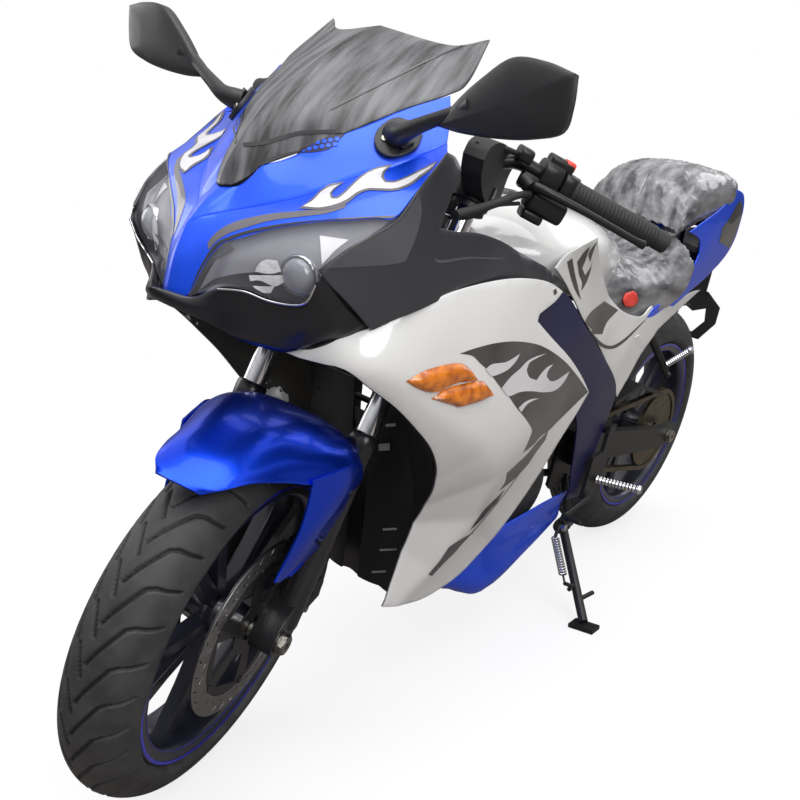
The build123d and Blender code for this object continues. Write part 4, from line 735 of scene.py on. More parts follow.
DARK_FLASHES = (
    [
        (1169, 737), (1140, 741), (1096, 743), (1045, 739), (985, 727), (935, 710), (878, 683), (818, 647),
        (760, 609), (798, 593), (840, 574), (872, 559), (894, 555), (913, 543), (942, 536), (940, 560),
        (942, 579), (970, 602), (996, 621), (1012, 632), (1044, 658), (1067, 674), (1098, 699), (1111, 709),
        (1126, 719), (1144, 731),
    ],
    [
        (872, 559), (869, 541), (885, 521), (894, 499), (917, 476), (953, 459), (951, 479), (967, 503),
        (942, 516), (921, 527), (901, 545),
    ],
    [(932, 457), (932, 427), (942, 410), (953, 391), (972, 377), (968, 399), (964, 421), (951, 436)],
    [
        (952, 365), (968, 353), (980, 329), (997, 312), (1017, 287), (1031, 296), (1017, 321), (1009, 351),
        (988, 361),
    ],
    [
        (877, 556), (899, 517), (912, 470), (925, 429), (946, 382), (974, 341), (1008, 307), (1026, 289),
        (1011, 309), (976, 344), (949, 385), (928, 431), (915, 472), (902, 519),
    ],
)
PALE_FLASHES = (
    [
        (1113, 709), (1098, 714), (1066, 712), (1045, 715), (1027, 719), (1038, 708), (1055, 700),
        (1075, 697), (1097, 697),
    ],
    [
        (1067, 674), (1046, 687), (1023, 695), (1003, 704), (977, 707), (946, 707), (976, 704), (996, 700),
        (1002, 690), (990, 677), (966, 668), (954, 677), (937, 684), (918, 686), (932, 678), (935, 669),
        (918, 658), (898, 656), (879, 659), (857, 664), (863, 653), (878, 642), (900, 638), (936, 643),
        (974, 652), (1011, 658), (1044, 658),
    ],
    [(1009, 632), (993, 638), (972, 639), (946, 635), (968, 635), (985, 632), (997, 623)],
)
flashes("fairing_dark_flashes", DARK_FLASHES, fairing_reach, 0.5)
flashes("fairing_pale_flashes", PALE_FLASHES, fairing_reach, 0.9, pale_flash)
SCREW_RECESS = [(944, 801), (936, 803), (931, 796), (939, 793)]
flashes("fairing_screw_recess", [SCREW_RECESS], fairing_reach, 0.5, cell=4, step=2)

# Indicators: two orange ribbed lenses on each fairing, one above the other.
orange = (0.86, 0.25, 0.012)
orange_lens = coated("orange_lens", orange, 0.22, (0.42, 0.09, 0.004), 60, coat=1.0, grain=1.0, fine=160)
lens_parts = []
for loop in (
    [(1259, 709), (1229, 721), (1176, 725), (1150, 716), (1126, 695), (1172, 696), (1207, 688), (1234, 695)],
    [(1213, 680), (1184, 692), (1126, 694), (1106, 686), (1084, 666), (1153, 661), (1170, 665)],
):
    corners, faces = moulding(loop, fairing_reach, 5, 0, 4)
    rim, swollen = smooth_closed(loop, 4), []
    for x, y, z in corners:
        gap = min(math.hypot(x - a, z - b) for a, b in rim)
        ribs = 0.8 * math.sin((x + z * 1.4) * 0.5) * min(1, gap / 4)
        swollen.append((x, y + 0.6 + 9 * (1 - math.exp(-gap / 3.5)) + ribs, z))
    lens_parts.append((swollen, faces))
piece("indicator_lenses", both(*lens_parts), orange_lens, "front_indicators", crease=60)

# Side cowls: satin black mouldings between the nose, the lamp and the white fairing, each with a glossy
# facet at the front and a thin slot in its upper face.
cowl_tint, facet_tint = (0.028, 0.028, 0.033), (0.085, 0.085, 0.095)
cowl_black = coated("cowl_black", (0.040, 0.040, 0.048), 0.36, cowl_tint, 5, coat=0.3, grain=0.12, fine=1400)
cowl_gloss = coated("cowl_gloss", (0.06, 0.06, 0.068), 0.2, facet_tint, 8, coat=0.9, grain=0.1, fine=300)
cowl_reach = moulded(
    (
        (1009, 800, 226), (1009, 832, 226), (1009, 863, 212), (891, 796, 213), (891, 804, 213),
        (1091, 812, 230), (1091, 896, 224), (1091, 961, 182), (1160, 802, 229), (1160, 896, 222),
        (1160, 966, 200), (1287, 905, 212), (1339, 868, 195), (1369, 841, 178), (1345, 790, 192),
        (1320, 765, 198), (1265, 840, 220), (1250, 776, 224), (1193, 980, 200), (1240, 935, 208),
    ),
    [(1369, 822), (1332, 803), (1302, 810), (1273, 837), (1148, 839), (950, 820)],
    -0.10,
    4.0,
)
COWL = [
    (1369, 841), (1353, 856), (1339, 869), (1323, 879), (1307, 889), (1280, 905), (1248, 933), (1193, 978),
    (1174, 973), (1161, 959), (1181, 938), (1198, 914), (1211, 893), (1183, 889), (1134, 886), (1073, 872),
    (986, 845), (916, 823), (875, 798), (930, 806), (1022, 819), (1099, 820), (1183, 811), (1260, 791),
    (1302, 772), (1320, 790), (1338, 808), (1356, 825),
]
panel("side_cowls_black", COWL, cowl_reach, cowl_black, "side_cowls")
COWL_FACET = [
    (1280, 903), (1248, 931), (1244, 919), (1247, 900), (1265, 863), (1275, 854), (1336, 847), (1367, 843),
    (1339, 867), (1307, 887),
]
flashes("side_cowl_gloss_facet", [COWL_FACET], cowl_reach, 0.7, cowl_gloss, step=4)
COWL_SLOT = [(1225, 862), (1210, 856), (1152, 858), (1076, 853), (1077, 851), (1152, 855), (1210, 852)]
flashes("side_cowl_slot", [COWL_SLOT], cowl_reach, 0.6, cowl_gloss, cell=6)

# Knee panels: glossy navy mouldings that run down from the tank to the foot peg on each side.
navy_paint = coated("navy_paint", (0.008, 0.008, 0.062), 0.42, (0.006, 0.006, 0.04), 5, coat=0.08, grain=0.05)
knee_reach = moulded((
    (480, 289, 152), (545, 289, 156), (482, 400, 160), (600, 400, 166), (484, 538, 170), (590, 538, 182),
    (690, 538, 186), (560, 610, 180), (660, 610, 190), (765, 610, 196), (660, 700, 199), (760, 700, 207),
    (850, 700, 213), (800, 786, 207), (900, 786, 214),
))
KNEE = [
    (859, 782), (815, 762), (762, 723), (667, 667), (550, 599), (485, 550), (468, 512), (473, 467),
    (475, 420), (480, 368), (488, 326), (500, 289), (563, 300), (561, 328), (580, 375), (600, 424),
    (640, 497), (690, 552), (760, 600), (800, 645), (869, 700), (935, 735), (930, 756), (895, 772),
]
panel("knee_panels_navy", KNEE, knee_reach, navy_paint, "knee_panels")

# Side covers under the seat: white mouldings that end in a point, with a window-shaped dark flash
# and small flames where they meet the tank.
cover_reach = moulded((
    (50, 668, 112), (50, 690, 112), (250, 610, 138), (250, 686, 138), (420, 546, 156), (420, 655, 158),
    (470, 543, 160), (470, 620, 166), (470, 690, 160), (600, 604, 172), (600, 680, 176), (600, 738, 168),
    (740, 704, 193), (740, 790, 191), (620, 800, 172), (840, 800, 200),
))
COVER = [
    (884, 821), (855, 838), (807, 849), (739, 861), (706, 817), (642, 768), (587, 735), (509, 703),
    (406, 682), (354, 697), (307, 683), (65, 693), (-22, 690), (241, 640), (288, 622), (353, 587),
    (394, 544), (428, 507), (467, 545), (575, 625), (686, 694), (736, 723), (798, 767), (845, 799),
]
panel("seat_covers_white", COVER, cover_reach, white_paint, "seat_covers")
COVER_FLAMES = [
    [(847, 828), (830, 833), (814, 813), (791, 788), (762, 758), (789, 774), (819, 799)],
    [
        (808, 825), (787, 840), (767, 848), (774, 829), (783, 813), (765, 800), (749, 811), (745, 820),
        (745, 804), (754, 786), (769, 774), (771, 788), (790, 803), (799, 815),
    ],
    [(764, 841), (740, 854), (749, 837), (754, 821), (767, 832)],
]
flashes("cover_dark_flashes", COVER_FLAMES, cover_reach, 0.5)


def traced(outline, target, out, cell=2.5, step=2.0):
    """A thin skin laid on a shape where an outline in photo pixels falls on it."""
    tree = bvhtree.BVHTree.FromPolygons(*target)
    loop = smooth_closed(outline, step)
    flat, faces = filled([loop], laid_out(loop, cell, 0.5, cell * cell * 0.2))
    met, missed = {}, []
    for k, (across, down) in enumerate(flat):
        sight = view_right * ((across - AIM_ACROSS) / FOCAL) + view_down * ((down - AIM_DOWN) / FOCAL)
        sight = (sight + view_ahead).normalized()
        hit, normal, _, far = tree.ray_cast(EYE, sight)
        if hit is None:
            missed.append((k, sight))
        else:
            met[k] = (hit + normal * (-out if normal.dot(sight) > 0 else out), far)
    for k, sight in missed:
        near = min(met, key=lambda m: (flat[m][0] - flat[k][0]) ** 2 + (flat[m][1] - flat[k][1]) ** 2)
        hit, normal, *_ = tree.find_nearest(EYE + sight * met[near][1])
        met[k] = (hit + normal * (-out if normal.dot(sight) > 0 else out), met[near][1])
    return [tuple(met[k][0]) for k in range(len(flat))], faces


def decal(name, outlines, target, out, material, cell=2.5, step=2.0, thick=0, edge=0):
    """Thin skins on both sides where outlines in photo pixels fall on a shape."""
    skins = [traced(loop, target, out, cell, step) for loop in outlines]
    piece(name, both(*skins), material, thick=thick, edge=edge)


# Thin dark lines: printed on the side covers, and painted shade along the lamp edge and the screen's folds.
dark_print_and_shade_line = coated("dark_print_and_shade_line", (0.012, 0.012, 0.014), 0.3, (0.03, 0.03, 0.032), coat=0.5)
cover_skin = moulding(COVER, cover_reach)
COVER_FLASH_PIXELS = [(584, 324), (590, 313), (604, 301), (618, 310), (607, 322), (602, 334), (593, 334)]
decal("cover_grey_flash", [COVER_FLASH_PIXELS], cover_skin, 0.6, charcoal_flash)
WINDOW_LINE_PIXELS = [
    (583, 325), (592, 338), (602, 347), (613, 348.5), (624, 342), (636, 330), (649, 316), (636, 328),
    (623, 339.5), (612, 345.5), (603, 343.5), (594, 335), (585, 323),
]
decal("cover_window_line", [WINDOW_LINE_PIXELS], cover_skin, 0.8, dark_print_and_shade_line, cell=2, step=1.5)

# Tail: blue mouldings that rise to a point behind the seat, with a charcoal flash in a hollow.
tail_reach = moulded((
    (-229, 800, 80), (-229, 888, 78), (-93, 736, 96), (-93, 830, 104), (-93, 926, 92), (59, 694, 114),
    (59, 800, 124), (59, 908, 112), (243, 692, 138), (243, 770, 146), (243, 843, 134), (343, 700, 150),
))
TAIL = [
    (390, 646), (380, 670), (326, 694), (210, 706), (150, 740), (120, 790), (138, 823), (214, 843),
    (112, 866), (-2, 890), (-93, 924), (-135, 925), (-200, 912), (-232, 880), (-234, 845), (-225, 802),
    (-180, 766), (-93, 734), (13, 711), (120, 692), (271, 660),
]
panel("tail_cowls_blue", TAIL, tail_reach, blue_paint, "tail_cowls")
TAIL_VENT = [
    (-33, 808), (-27, 841), (-93, 868), (-160, 899), (-210, 885), (-222, 853), (-210, 812), (-185, 782),
]
flashes("tail_dark_flash", [TAIL_VENT], tail_reach, 0.6, step=4)

# Nose: blue mouldings in four facets that meet in a beak, with a grey band painted on as a reflection of
# the horizon, a pale flame and a honeycomb vent on each cheek.
NOSE_TOP = (
    [(1369, 0, 899), (1393, 0, 880), (1415, 0, 857)],
    [(1362, 15, 901), (1384, 12, 883), (1403, 8, 865)],
    [(1355, 21, 905), (1368, 22, 889), (1380, 26, 875)],
    [(1347, 29, 915), (1355, 38, 900), (1361, 48, 884)],
    [(1334, 35, 930), (1339, 52, 912), (1342, 70, 894)],
    [(1317, 47, 938), (1321, 68, 922), (1322, 91, 904)],
    [(1298, 60, 950), (1300, 84, 936), (1300, 109, 918)],
    [(1275, 77, 971), (1277, 100, 953), (1276, 125, 932)],
    [(1258, 93, 979), (1258, 115, 963), (1256, 138, 942)],
    [(1221, 113, 1001), (1230, 133, 978), (1235, 153, 951)],
    [(1200, 125, 1013), (1204, 147, 994), (1204, 169, 968)],
    [(1145, 156, 1039), (1158, 171, 1014), (1174, 184, 986)],
)
NOSE_CHEEK = (
    [(1415, 0, 857), (1432, 0, 820), (1442, 0, 777)],
    [(1409, 4, 861), (1427, 10, 822), (1438, 12, 777)],
    [(1403, 8, 865), (1418, 19, 828), (1429, 25, 779)],
    [(1391, 17, 870), (1407, 27, 844), (1414, 35, 818)],
    [(1380, 26, 875), (1393, 38, 859), (1400, 48, 843)],
    [(1361, 48, 884), (1378, 58, 869), (1389, 66, 853)],
    [(1342, 70, 894), (1360, 84, 882), (1370, 95, 869)],
    [(1322, 91, 904), (1341, 110, 893), (1351, 124, 881)],
    [(1300, 109, 918), (1322, 132, 904), (1335, 148, 889)],
    [(1276, 125, 932), (1303, 155, 914), (1320, 173, 895)],
    [(1256, 138, 942), (1284, 173, 922), (1303, 194, 901)],
    [(1235, 153, 951), (1266, 186, 928), (1287, 211, 905)],
    [(1204, 169, 968), (1228, 188, 950), (1250, 206, 931)],
    [(1174, 184, 986), (1184, 192, 982), (1193, 200, 979)],
)
nose = both(skin(NOSE_TOP, 5, 4), skin(NOSE_CHEEK, 5, 4))
piece("nose_fairing_blue", nose, blue_paint, "nose_fairing", thick=2.5, edge=0.5, crease=16)
# One grey for the flame's printed outline and for a painted reflection band.
flame_print_and_reflection_grey = coated("flame_print_and_reflection_grey", (0.10, 0.095, 0.11), 0.4, (0.14, 0.13, 0.15), 12, coat=0.6)
# Painted shade: a thin dark strip along the lamp edge stands for the shadow gap there.
LAMP_SHADOW_GAP_PIXELS = [
    (190, 292), (200, 268), (214, 246), (230, 236.5), (260, 228), (300, 222), (350, 218), (399, 215.5),
    (399, 218), (350, 220.5), (300, 224.5), (260, 231), (231, 239.5), (217, 248), (204, 270), (194, 292),
]
decal("nose_lamp_shadow_gap", [LAMP_SHADOW_GAP_PIXELS], nose, 0.9, dark_print_and_shade_line, cell=2, step=1.5)
# Painted reflection: a dull grey band under the flame stands for the horizon mirrored in the paint.
REFLECTION_BAND_PIXELS = [
    (208, 243), (216, 233), (228, 225), (245, 219), (270, 214), (300, 211), (325, 209), (347, 203),
    (345, 208), (325, 214), (300, 217), (270, 221), (245, 228), (228, 234), (216, 242), (209, 250),
]
decal("nose_painted_reflection_band", [REFLECTION_BAND_PIXELS], nose, 0.5, flame_print_and_reflection_grey)
FLAME_EDGE_PIXELS = [
    (299, 209), (312, 199), (321, 190), (331, 184), (345, 182), (337, 188), (332, 193), (333, 197),
    (337, 197), (345, 191), (352, 184), (362, 175), (375, 168), (393, 164), (386, 171), (384, 177),
    (386, 181), (395, 181), (408, 176), (420, 170), (432, 164), (443, 158), (434, 168), (421, 178),
    (410, 186), (395, 191), (380, 191), (368, 191), (358, 195), (348, 203), (335, 208), (320, 210),
]
decal("nose_flame_line", [FLAME_EDGE_PIXELS], nose, 0.8, flame_print_and_reflection_grey)
FLAME_PIXELS = [
    (303, 207), (313, 201), (322, 192), (331, 187), (340, 185), (334, 189), (330, 194), (331, 199),
    (338, 199), (346, 193), (353, 186), (363, 177), (375, 170), (388, 167), (383, 172), (381, 178),
    (385, 183), (395, 183), (408, 178), (420, 172), (432, 166), (438, 162), (430, 169), (420, 176),
    (409, 184), (395, 189), (380, 189), (368, 189), (357, 193), (347, 200), (335, 205), (320, 208),
]
decal("nose_flame_pale", [FLAME_PIXELS], nose, 1.1, pale_flash)
VENT_PIXELS = [(297, 153), (309, 141), (326, 137), (345, 134), (331, 148), (316, 152)]
decal("nose_vent_hollow", [VENT_PIXELS], nose, 0.5, navy_paint)
CELL_AREA_PIXELS = [(300, 153), (309, 142), (344, 134), (332, 149)]


def dots(spots, wide, tall):
    """Six-sided outlines round some spots in photo pixels."""
    turns = (0, 1.05, 2.09, 3.14, 4.19, 5.24)
    return [[(x + wide * math.cos(a), y + tall * math.sin(a)) for a in turns] for x, y in spots]


cells = [(303 + i * 6.4 + j * 2.2, 150 - j * 5.2 - i * 1.1) for i in range(6) for j in range(3)]
cells = dots([spot for spot in cells if inside(spot, CELL_AREA_PIXELS)], 2.6, 2.2)
decal("nose_vent_cells", cells, nose, 1.0, blue_paint)

# Headlamps: one clear wraparound lens on each side of the beak over a grey bowl with a dark lower half,
# a projector lens in a bright ring, two bright reflectors and a small bulb.
lens_clear = coated("lens_clear", (0.5, 0.5, 0.55), 0.04, (0.42, 0.42, 0.46))
lens_clear.node_tree.nodes["Principled BSDF"].inputs["Alpha"].default_value = 0.09
LENS = (
    [(1429, 25, 779), (1430, 26, 778), (1429, 28, 777)],
    [(1414, 35, 818), (1424, 39, 803), (1423, 45, 787)],
    [(1400, 48, 843), (1418, 55, 822), (1415, 62, 796)],
    [(1389, 66, 853), (1411, 77, 830), (1401, 93, 800)],
    [(1370, 95, 869), (1402, 105, 838), (1391, 109, 796)],
    [(1351, 124, 881), (1391, 130, 840), (1380, 126, 793)],
    [(1335, 148, 889), (1378, 152, 844), (1370, 146, 794)],
    [(1320, 173, 895), (1364, 170, 850), (1366, 165, 804)],
    [(1303, 194, 901), (1345, 187, 862), (1369, 178, 832)],
    [(1287, 211, 905), (1323, 202, 880), (1355, 189, 856)],
)
piece("headlamp_lenses", both(skin(LENS, 8, 6)), lens_clear, "headlights", thick=1.2, crease=60)
bowl_grey = coated("bowl_grey", (0.27, 0.27, 0.31), 0.4, (0.22, 0.22, 0.25), 14)
bowl_dark = coated("bowl_dark", (0.012, 0.012, 0.015), 0.35, (0.03, 0.03, 0.034), 20)
bowl_white = coated("bowl_white", (0.95, 0.95, 0.97), 0.4, (0.9, 0.9, 0.92))
BOWL_BEHIND = (14, 24, 14)
bowl_rows = [[(x - behind, y, z) for (x, y, z), behind in zip(row, BOWL_BEHIND)] for row in LENS]
corners, faces = skin(bowl_rows, 6, 5)
bowl = [(x, y * 0.985, z) for x, y, z in corners], faces
piece("headlamp_bowls", both(bowl), bowl_grey, thick=1.0, crease=60)
BOWL_LOW_PIXELS = [
    (196, 292), (208, 283), (222, 277), (245, 273), (280, 271), (318, 267), (317, 285), (306, 299),
    (292, 301), (268, 295), (245, 287), (220, 284),
]
decal("headlamp_bowls_lower", [BOWL_LOW_PIXELS], bowl, 0.8, bowl_dark)
BOWL_CORNER_PIXELS = [(320, 236), (349, 240), (336, 250), (322, 265)]
decal("headlamp_white_corners", [BOWL_CORNER_PIXELS], bowl, 1.0, bowl_white, 2, 8)
REFLECTOR_PIXELS = [
    [(257, 271), (261, 264), (269, 260), (279, 261), (283, 271), (270, 273)],
    [(251, 275), (284, 274), (287, 280), (276, 285), (262, 280), (252, 281)],
    [(254, 286), (276, 285), (272, 292), (262, 292)],
]
bright = (0.92, 0.92, 0.94)
bright_facet = coated("bright_facet", bright, 0.3, (0.7, 0.7, 0.73), 70, grain=1.0, fine=200)
decal("headlamp_reflectors", REFLECTOR_PIXELS, bowl, 5, bright_facet, 2)
BULB_PIXELS = [(214, 256), (221, 246), (231, 244), (236, 250), (228, 255), (220, 259)]
decal("headlamp_side_bulbs", [BULB_PIXELS], bowl, 3.0, bowl_dark, cell=2)


def on_line(start, aim, profile, steps=40):
    """A profile of (distance along, radius) turned about the line from start towards aim."""
    start, run = Vector(start), (Vector(aim) - Vector(start)).normalized()
    across = run.orthogonal().normalized()
    third = run.cross(across)
    corners = []
    for i in range(steps):
        angle = 2 * math.pi * i / steps
        spoke = across * math.cos(angle) + third * math.sin(angle)
        corners += [tuple(start + run * along + spoke * radius) for along, radius in profile]
    return corners, grid_faces(steps, len(profile), True)


projector_glass = coated("projector_glass", (0.22, 0.23, 0.27), 0.05, (0.3, 0.31, 0.34), 20, coat=1.0)
PROJECTOR, PROJECTOR_AIM = (1355, 139, 826), (1500, 185, 824)
glass = on_line(PROJECTOR, PROJECTOR_AIM, [(23, 0.1), (22, 8), (19, 15), (14, 19.5), (8, 21)])
piece("headlamp_projectors", both(glass), projector_glass)
RING_PROFILE = [(-14, 20), (8, 21), (12, 22), (13, 23), (11, 24.5), (5, 24.5), (-14, 22)]
piece("headlamp_projector_rings", both(on_line(PROJECTOR, PROJECTOR_AIM, RING_PROFILE)), chrome)

# Chin: a satin black moulding under the lamps, with a thin bright line along its upper fold.
CHIN = (
    [(1440, 0, 776), (1465, 0, 785), (1465, 0, 776), (1459, 0, 769)],
    [(1434, 20, 776), (1453, 16, 783), (1456, 20, 774), (1450, 22, 764)],
    [(1428, 38, 779), (1436, 42, 780), (1438, 48, 768), (1434, 47, 757)],
    [(1415, 62, 793), (1418, 64, 792), (1417, 70, 770), (1419, 74, 748)],
    [(1401, 93, 797), (1404, 95, 796), (1400, 96, 768), (1406, 92, 739)],
    [(1384, 118, 790), (1387, 120, 789), (1384, 120, 762), (1388, 108, 733)],
    [(1370, 146, 791), (1373, 148, 790), (1370, 146, 762), (1364, 127, 728)],
    [(1366, 164, 801), (1370, 166, 798), (1362, 166, 768), (1346, 155, 742)],
    [(1369, 178, 829), (1371, 179, 821), (1348, 185, 782), (1322, 184, 758)],
    [(1368, 179, 838), (1352, 186, 822), (1333, 190, 806), (1300, 200, 773)],
)
chin_tint = (0.008, 0.008, 0.012)
chin_black = coated("chin_black", (0.004, 0.004, 0.007), 0.3, chin_tint, 5, coat=0.2, grain=0.1, fine=1400)
chin = both(skin(CHIN, 5, 5))
piece("nose_chin_black", chin, chin_black, "nose_chin", thick=2.5, crease=34)
RIM_LINE = [
    (1417, 63, 794), (1404, 94, 798), (1388, 119, 792), (1374, 147, 793), (1371, 166, 802),
    (1373, 179, 824),
]
piece("headlamp_rim_lines", both(tube(RIM_LINE, 1.3, 10)), chrome)

# Windscreen: a smoked, double-curved screen that ends in a point on the beak, with a raised middle
# and an ear at each top corner, still in its clear crinkled protective film.
# The film's pale streaks are painted into the screen's colour: partly the film's own haze, partly painted
# highlights on its crinkles.
smoke, film_haze_and_sheen = (0.012, 0.012, 0.014), (0.17, 0.17, 0.18)
screen_smoke = coated("screen_smoke", smoke, 0.36, film_haze_and_sheen, 75, 0, 0.1, 1.0, 160, (0.13, 1, 0.13))
screen_smoke.node_tree.nodes["Principled BSDF"].inputs["Alpha"].default_value = 0.94
SCREEN = (
    [(1370, 0, 901), (1368, 6, 902), (1363, 14, 903)],
    [(1362, 0, 922), (1352, 16, 920), (1347, 28, 917)],
    [(1346, 0, 946), (1338, 22, 940), (1333, 36, 931)],
    [(1318, 0, 982), (1308, 34, 972), (1297, 61, 952)],
    [(1280, 0, 1016), (1266, 60, 1002), (1257, 94, 980)],
    [(1220, 0, 1056), (1206, 76, 1038), (1200, 126, 1014)],
    [(1166, 0, 1086), (1150, 92, 1066), (1145, 152, 1040)],
    [(1130, 0, 1102), (1112, 100, 1086), (1118, 160, 1058)],
    [(1116, 0, 1106), (1090, 100, 1096), (1062, 142, 1110)],
)
screen = skin(SCREEN, 10, 10)
piece("windscreen_smoked", both(screen), screen_smoke, "windscreen", thick=2.4, crease=30)
# Painted shade: dark lines along the screen's folds stand for the shade on them.
SCREEN_FOLD_SHADE_PIXELS = (
    [
        (243, 143), (262, 141), (280, 136), (300, 131), (322, 130), (346, 129), (346, 133), (324, 134),
        (302, 135), (282, 140), (264, 145), (244, 147),
    ],
    [(262, 165), (270, 158), (283, 154), (298, 151), (299, 153), (284, 157), (272, 161), (264, 168)],
    [
        (330, 109), (360, 94), (400, 74), (430, 59), (484, 36), (484, 37.4), (430, 60.6), (400, 75.6),
        (360, 95.6), (330, 110.8),
    ],
)
decal("windscreen_fold_shade_lines", SCREEN_FOLD_SHADE_PIXELS, screen, 0.8, dark_print_and_shade_line, cell=2, step=3)

# Mirrors: a black shell with its glass on a bent stalk on each side of the nose. The stalk stands on
# a rubber foot plate that is held by two bolts.
mirror_black = coated("mirror_black", (0.014, 0.014, 0.016), 0.4, coat=0.15, grain=0.3, fine=1600)
mirror_glass = coated("mirror_glass", (0.75, 0.78, 0.8), 0.03, (0.72, 0.75, 0.77), metal=1)
mirror_loop = smooth_closed(
    [
        (215, 1006), (236, 1035), (268, 1064), (303, 1087), (345, 1088), (382, 1081), (384, 1050),
        (378, 1024), (344, 1012), (300, 1006), (250, 1004),
    ],
    5,
    70,
)
SHELL_RINGS = 6


def cushion_plate(loop, spot, bulge, depth):
    """A rounded shell on a flat outline of (y, z) points, bulging towards +X."""
    middle = (sum(p[0] for p in loop) / len(loop), sum(p[1] for p in loop) / len(loop))
    levels = [math.pi / 2 * i / SHELL_RINGS for i in range(SHELL_RINGS + 1)]
    levels = [(spot + bulge * math.cos(level), math.sin(level)) for level in levels] + [(spot - depth, 0.97)]
    corners = []
    for x, share in levels:
        for y, z in loop:
            corners.append((x, middle[0] + (y - middle[0]) * share, middle[1] + (z - middle[1]) * share))
    back = tuple(range(len(corners) - 1, len(corners) - len(loop) - 1, -1))
    return corners, grid_faces(len(levels), len(loop), False, True) + [back]


STALK = [
    (1222, 138, 986), (1230, 152, 988), (1236, 168, 993), (1236, 190, 1004), (1234, 212, 1014),
    (1230, 234, 1023), (1232, 258, 1034),
]
stalk = tube(STALK, [15, 14, 11, 9, 8, 9, 12], 20)
mirror = both(cushion_plate(mirror_loop, 1236, 8, 12), stalk)
piece("mirrors_black", mirror, mirror_black, "mirrors", crease=45)
FOOT_PIXELS = [
    (374, 142), (380, 130), (396, 121), (413, 126), (422, 138), (417, 149), (404, 157), (389, 159),
    (378, 153),
]
decal("mirror_foot_plates", [FOOT_PIXELS], nose, 7, mirror_black, thick=7, edge=1.5)
HUMP_PIXELS = [(392, 138), (398, 129), (407, 128), (409, 140), (413, 147), (402, 153), (393, 148)]
decal("mirror_foot_humps", [HUMP_PIXELS], nose, 13, mirror_black, thick=8, edge=2.5)
BOLT_PIXELS = ((384, 142), (412, 135))
decal("mirror_foot_bolts", dots(BOLT_PIXELS, 3, 3), nose, 9, axle_steel, 1.5, 1, 3, 0.5)
glass_loop = [(215 + (y - 215) * 0.94 + 5, 1006 + (z - 1006) * 0.94 + 3) for y, z in mirror_loop]
glass = [(1223.6, y, z) for y, z in glass_loop], [tuple(range(len(glass_loop)))[::-1]]
piece("mirror_glass", both(glass), mirror_glass)

# Tank: a white steel tank with a raised ridge and hollows for the knees, and a filler cap on top.
TANK = (
    [(398, 0, 818), (398, 30, 815), (398, 56, 802), (398, 68, 780), (398, 62, 748)],
    [(470, 0, 848), (470, 50, 842), (470, 88, 822), (470, 108, 790), (470, 98, 740)],
    [(560, 0, 872), (560, 60, 866), (560, 112, 846), (560, 140, 806), (560, 132, 740)],
    [(667, 0, 890), (667, 70, 886), (667, 130, 868), (667, 168, 824), (667, 166, 748)],
    [(780, 0, 898), (780, 76, 894), (780, 142, 874), (780, 182, 830), (780, 176, 762)],
    [(870, 0, 896), (870, 70, 890), (870, 132, 868), (870, 172, 832), (870, 160, 780)],
    [(945, 0, 868), (945, 36, 864), (945, 70, 850), (945, 92, 826), (945, 86, 802)],
)
tank = both(flipped(skin(TANK, 6, 6)))
piece("fuel_tank_white", tank, white_paint, "fuel_tank", thick=2.0, crease=50)
cap = on_line((760, 0, 893), (760, 0, 1000), [(0, 34), (5, 34), (7, 31), (7, 24), (9, 22), (9, 0.1)], 48)
piece("tank_cap", cap, slider_black, crease=30)

# Seats: black vinyl cushions, both still wrapped in clear crinkled film, with a red tag on the front one.
# The film's pale streaks are painted into the vinyl's colour: partly the film's own haze, partly painted
# sheen on its crinkles.
vinyl, film_haze_and_sheen = (0.05, 0.05, 0.054), (0.30, 0.30, 0.315)
seat_vinyl = coated("seat_vinyl", vinyl, 0.3, film_haze_and_sheen, 48, 0, 0.6, 1.0, 90, (0.16, 1, 0.6))
FILM_FOLD, FILM_SIZE, FILM_WAVES = 9, 24, ((1, 1), (0.5, 2.3), (0.25, 4.7))
SEAT_FRONT = (
    [(216, 0, 846), (218, 50, 842), (214, 98, 830), (196, 136, 802), (168, 146, 762), (190, 130, 724)],
    [(258, 0, 812), (258, 56, 807), (250, 110, 796), (228, 146, 768), (208, 152, 722), (225, 138, 694)],
    [(320, 0, 794), (320, 56, 789), (318, 106, 776), (308, 142, 742), (296, 146, 694), (305, 134, 668)],
    [(380, 0, 798), (384, 48, 793), (396, 98, 778), (404, 134, 740), (402, 140, 684), (405, 130, 650)],
    [(398, 0, 806), (420, 48, 803), (462, 98, 790), (494, 128, 752), (500, 138, 690), (495, 130, 640)],
    [(404, 0, 808), (436, 50, 808), (500, 98, 800), (560, 126, 762), (566, 132, 700), (560, 126, 650)],
)
SEAT_REAR = (
    [(-190, 0, 930), (-188, 30, 928), (-184, 52, 918), (-178, 60, 904), (-172, 50, 890), (-170, 30, 884)],
    [(-168, 0, 956), (-166, 42, 952), (-160, 70, 938), (-152, 78, 912), (-148, 66, 884), (-146, 40, 876)],
    [(-90, 0, 966), (-90, 46, 962), (-88, 82, 950), (-86, 98, 918), (-86, 88, 878), (-86, 50, 866)],
    [(40, 0, 974), (40, 50, 971), (42, 96, 958), (44, 112, 920), (44, 104, 872), (44, 60, 858)],
    [(140, 0, 968), (140, 52, 963), (144, 100, 948), (150, 118, 908), (150, 112, 860), (150, 60, 846)],
    [(200, 0, 944), (202, 52, 938), (206, 100, 922), (212, 120, 888), (214, 118, 850), (212, 66, 838)],
    [(226, 0, 902), (228, 52, 896), (232, 100, 884), (234, 120, 864), (234, 118, 842), (230, 66, 832)],
    [(240, 0, 858), (242, 52, 854), (244, 98, 848), (242, 114, 842), (240, 110, 834), (236, 60, 828)],
)


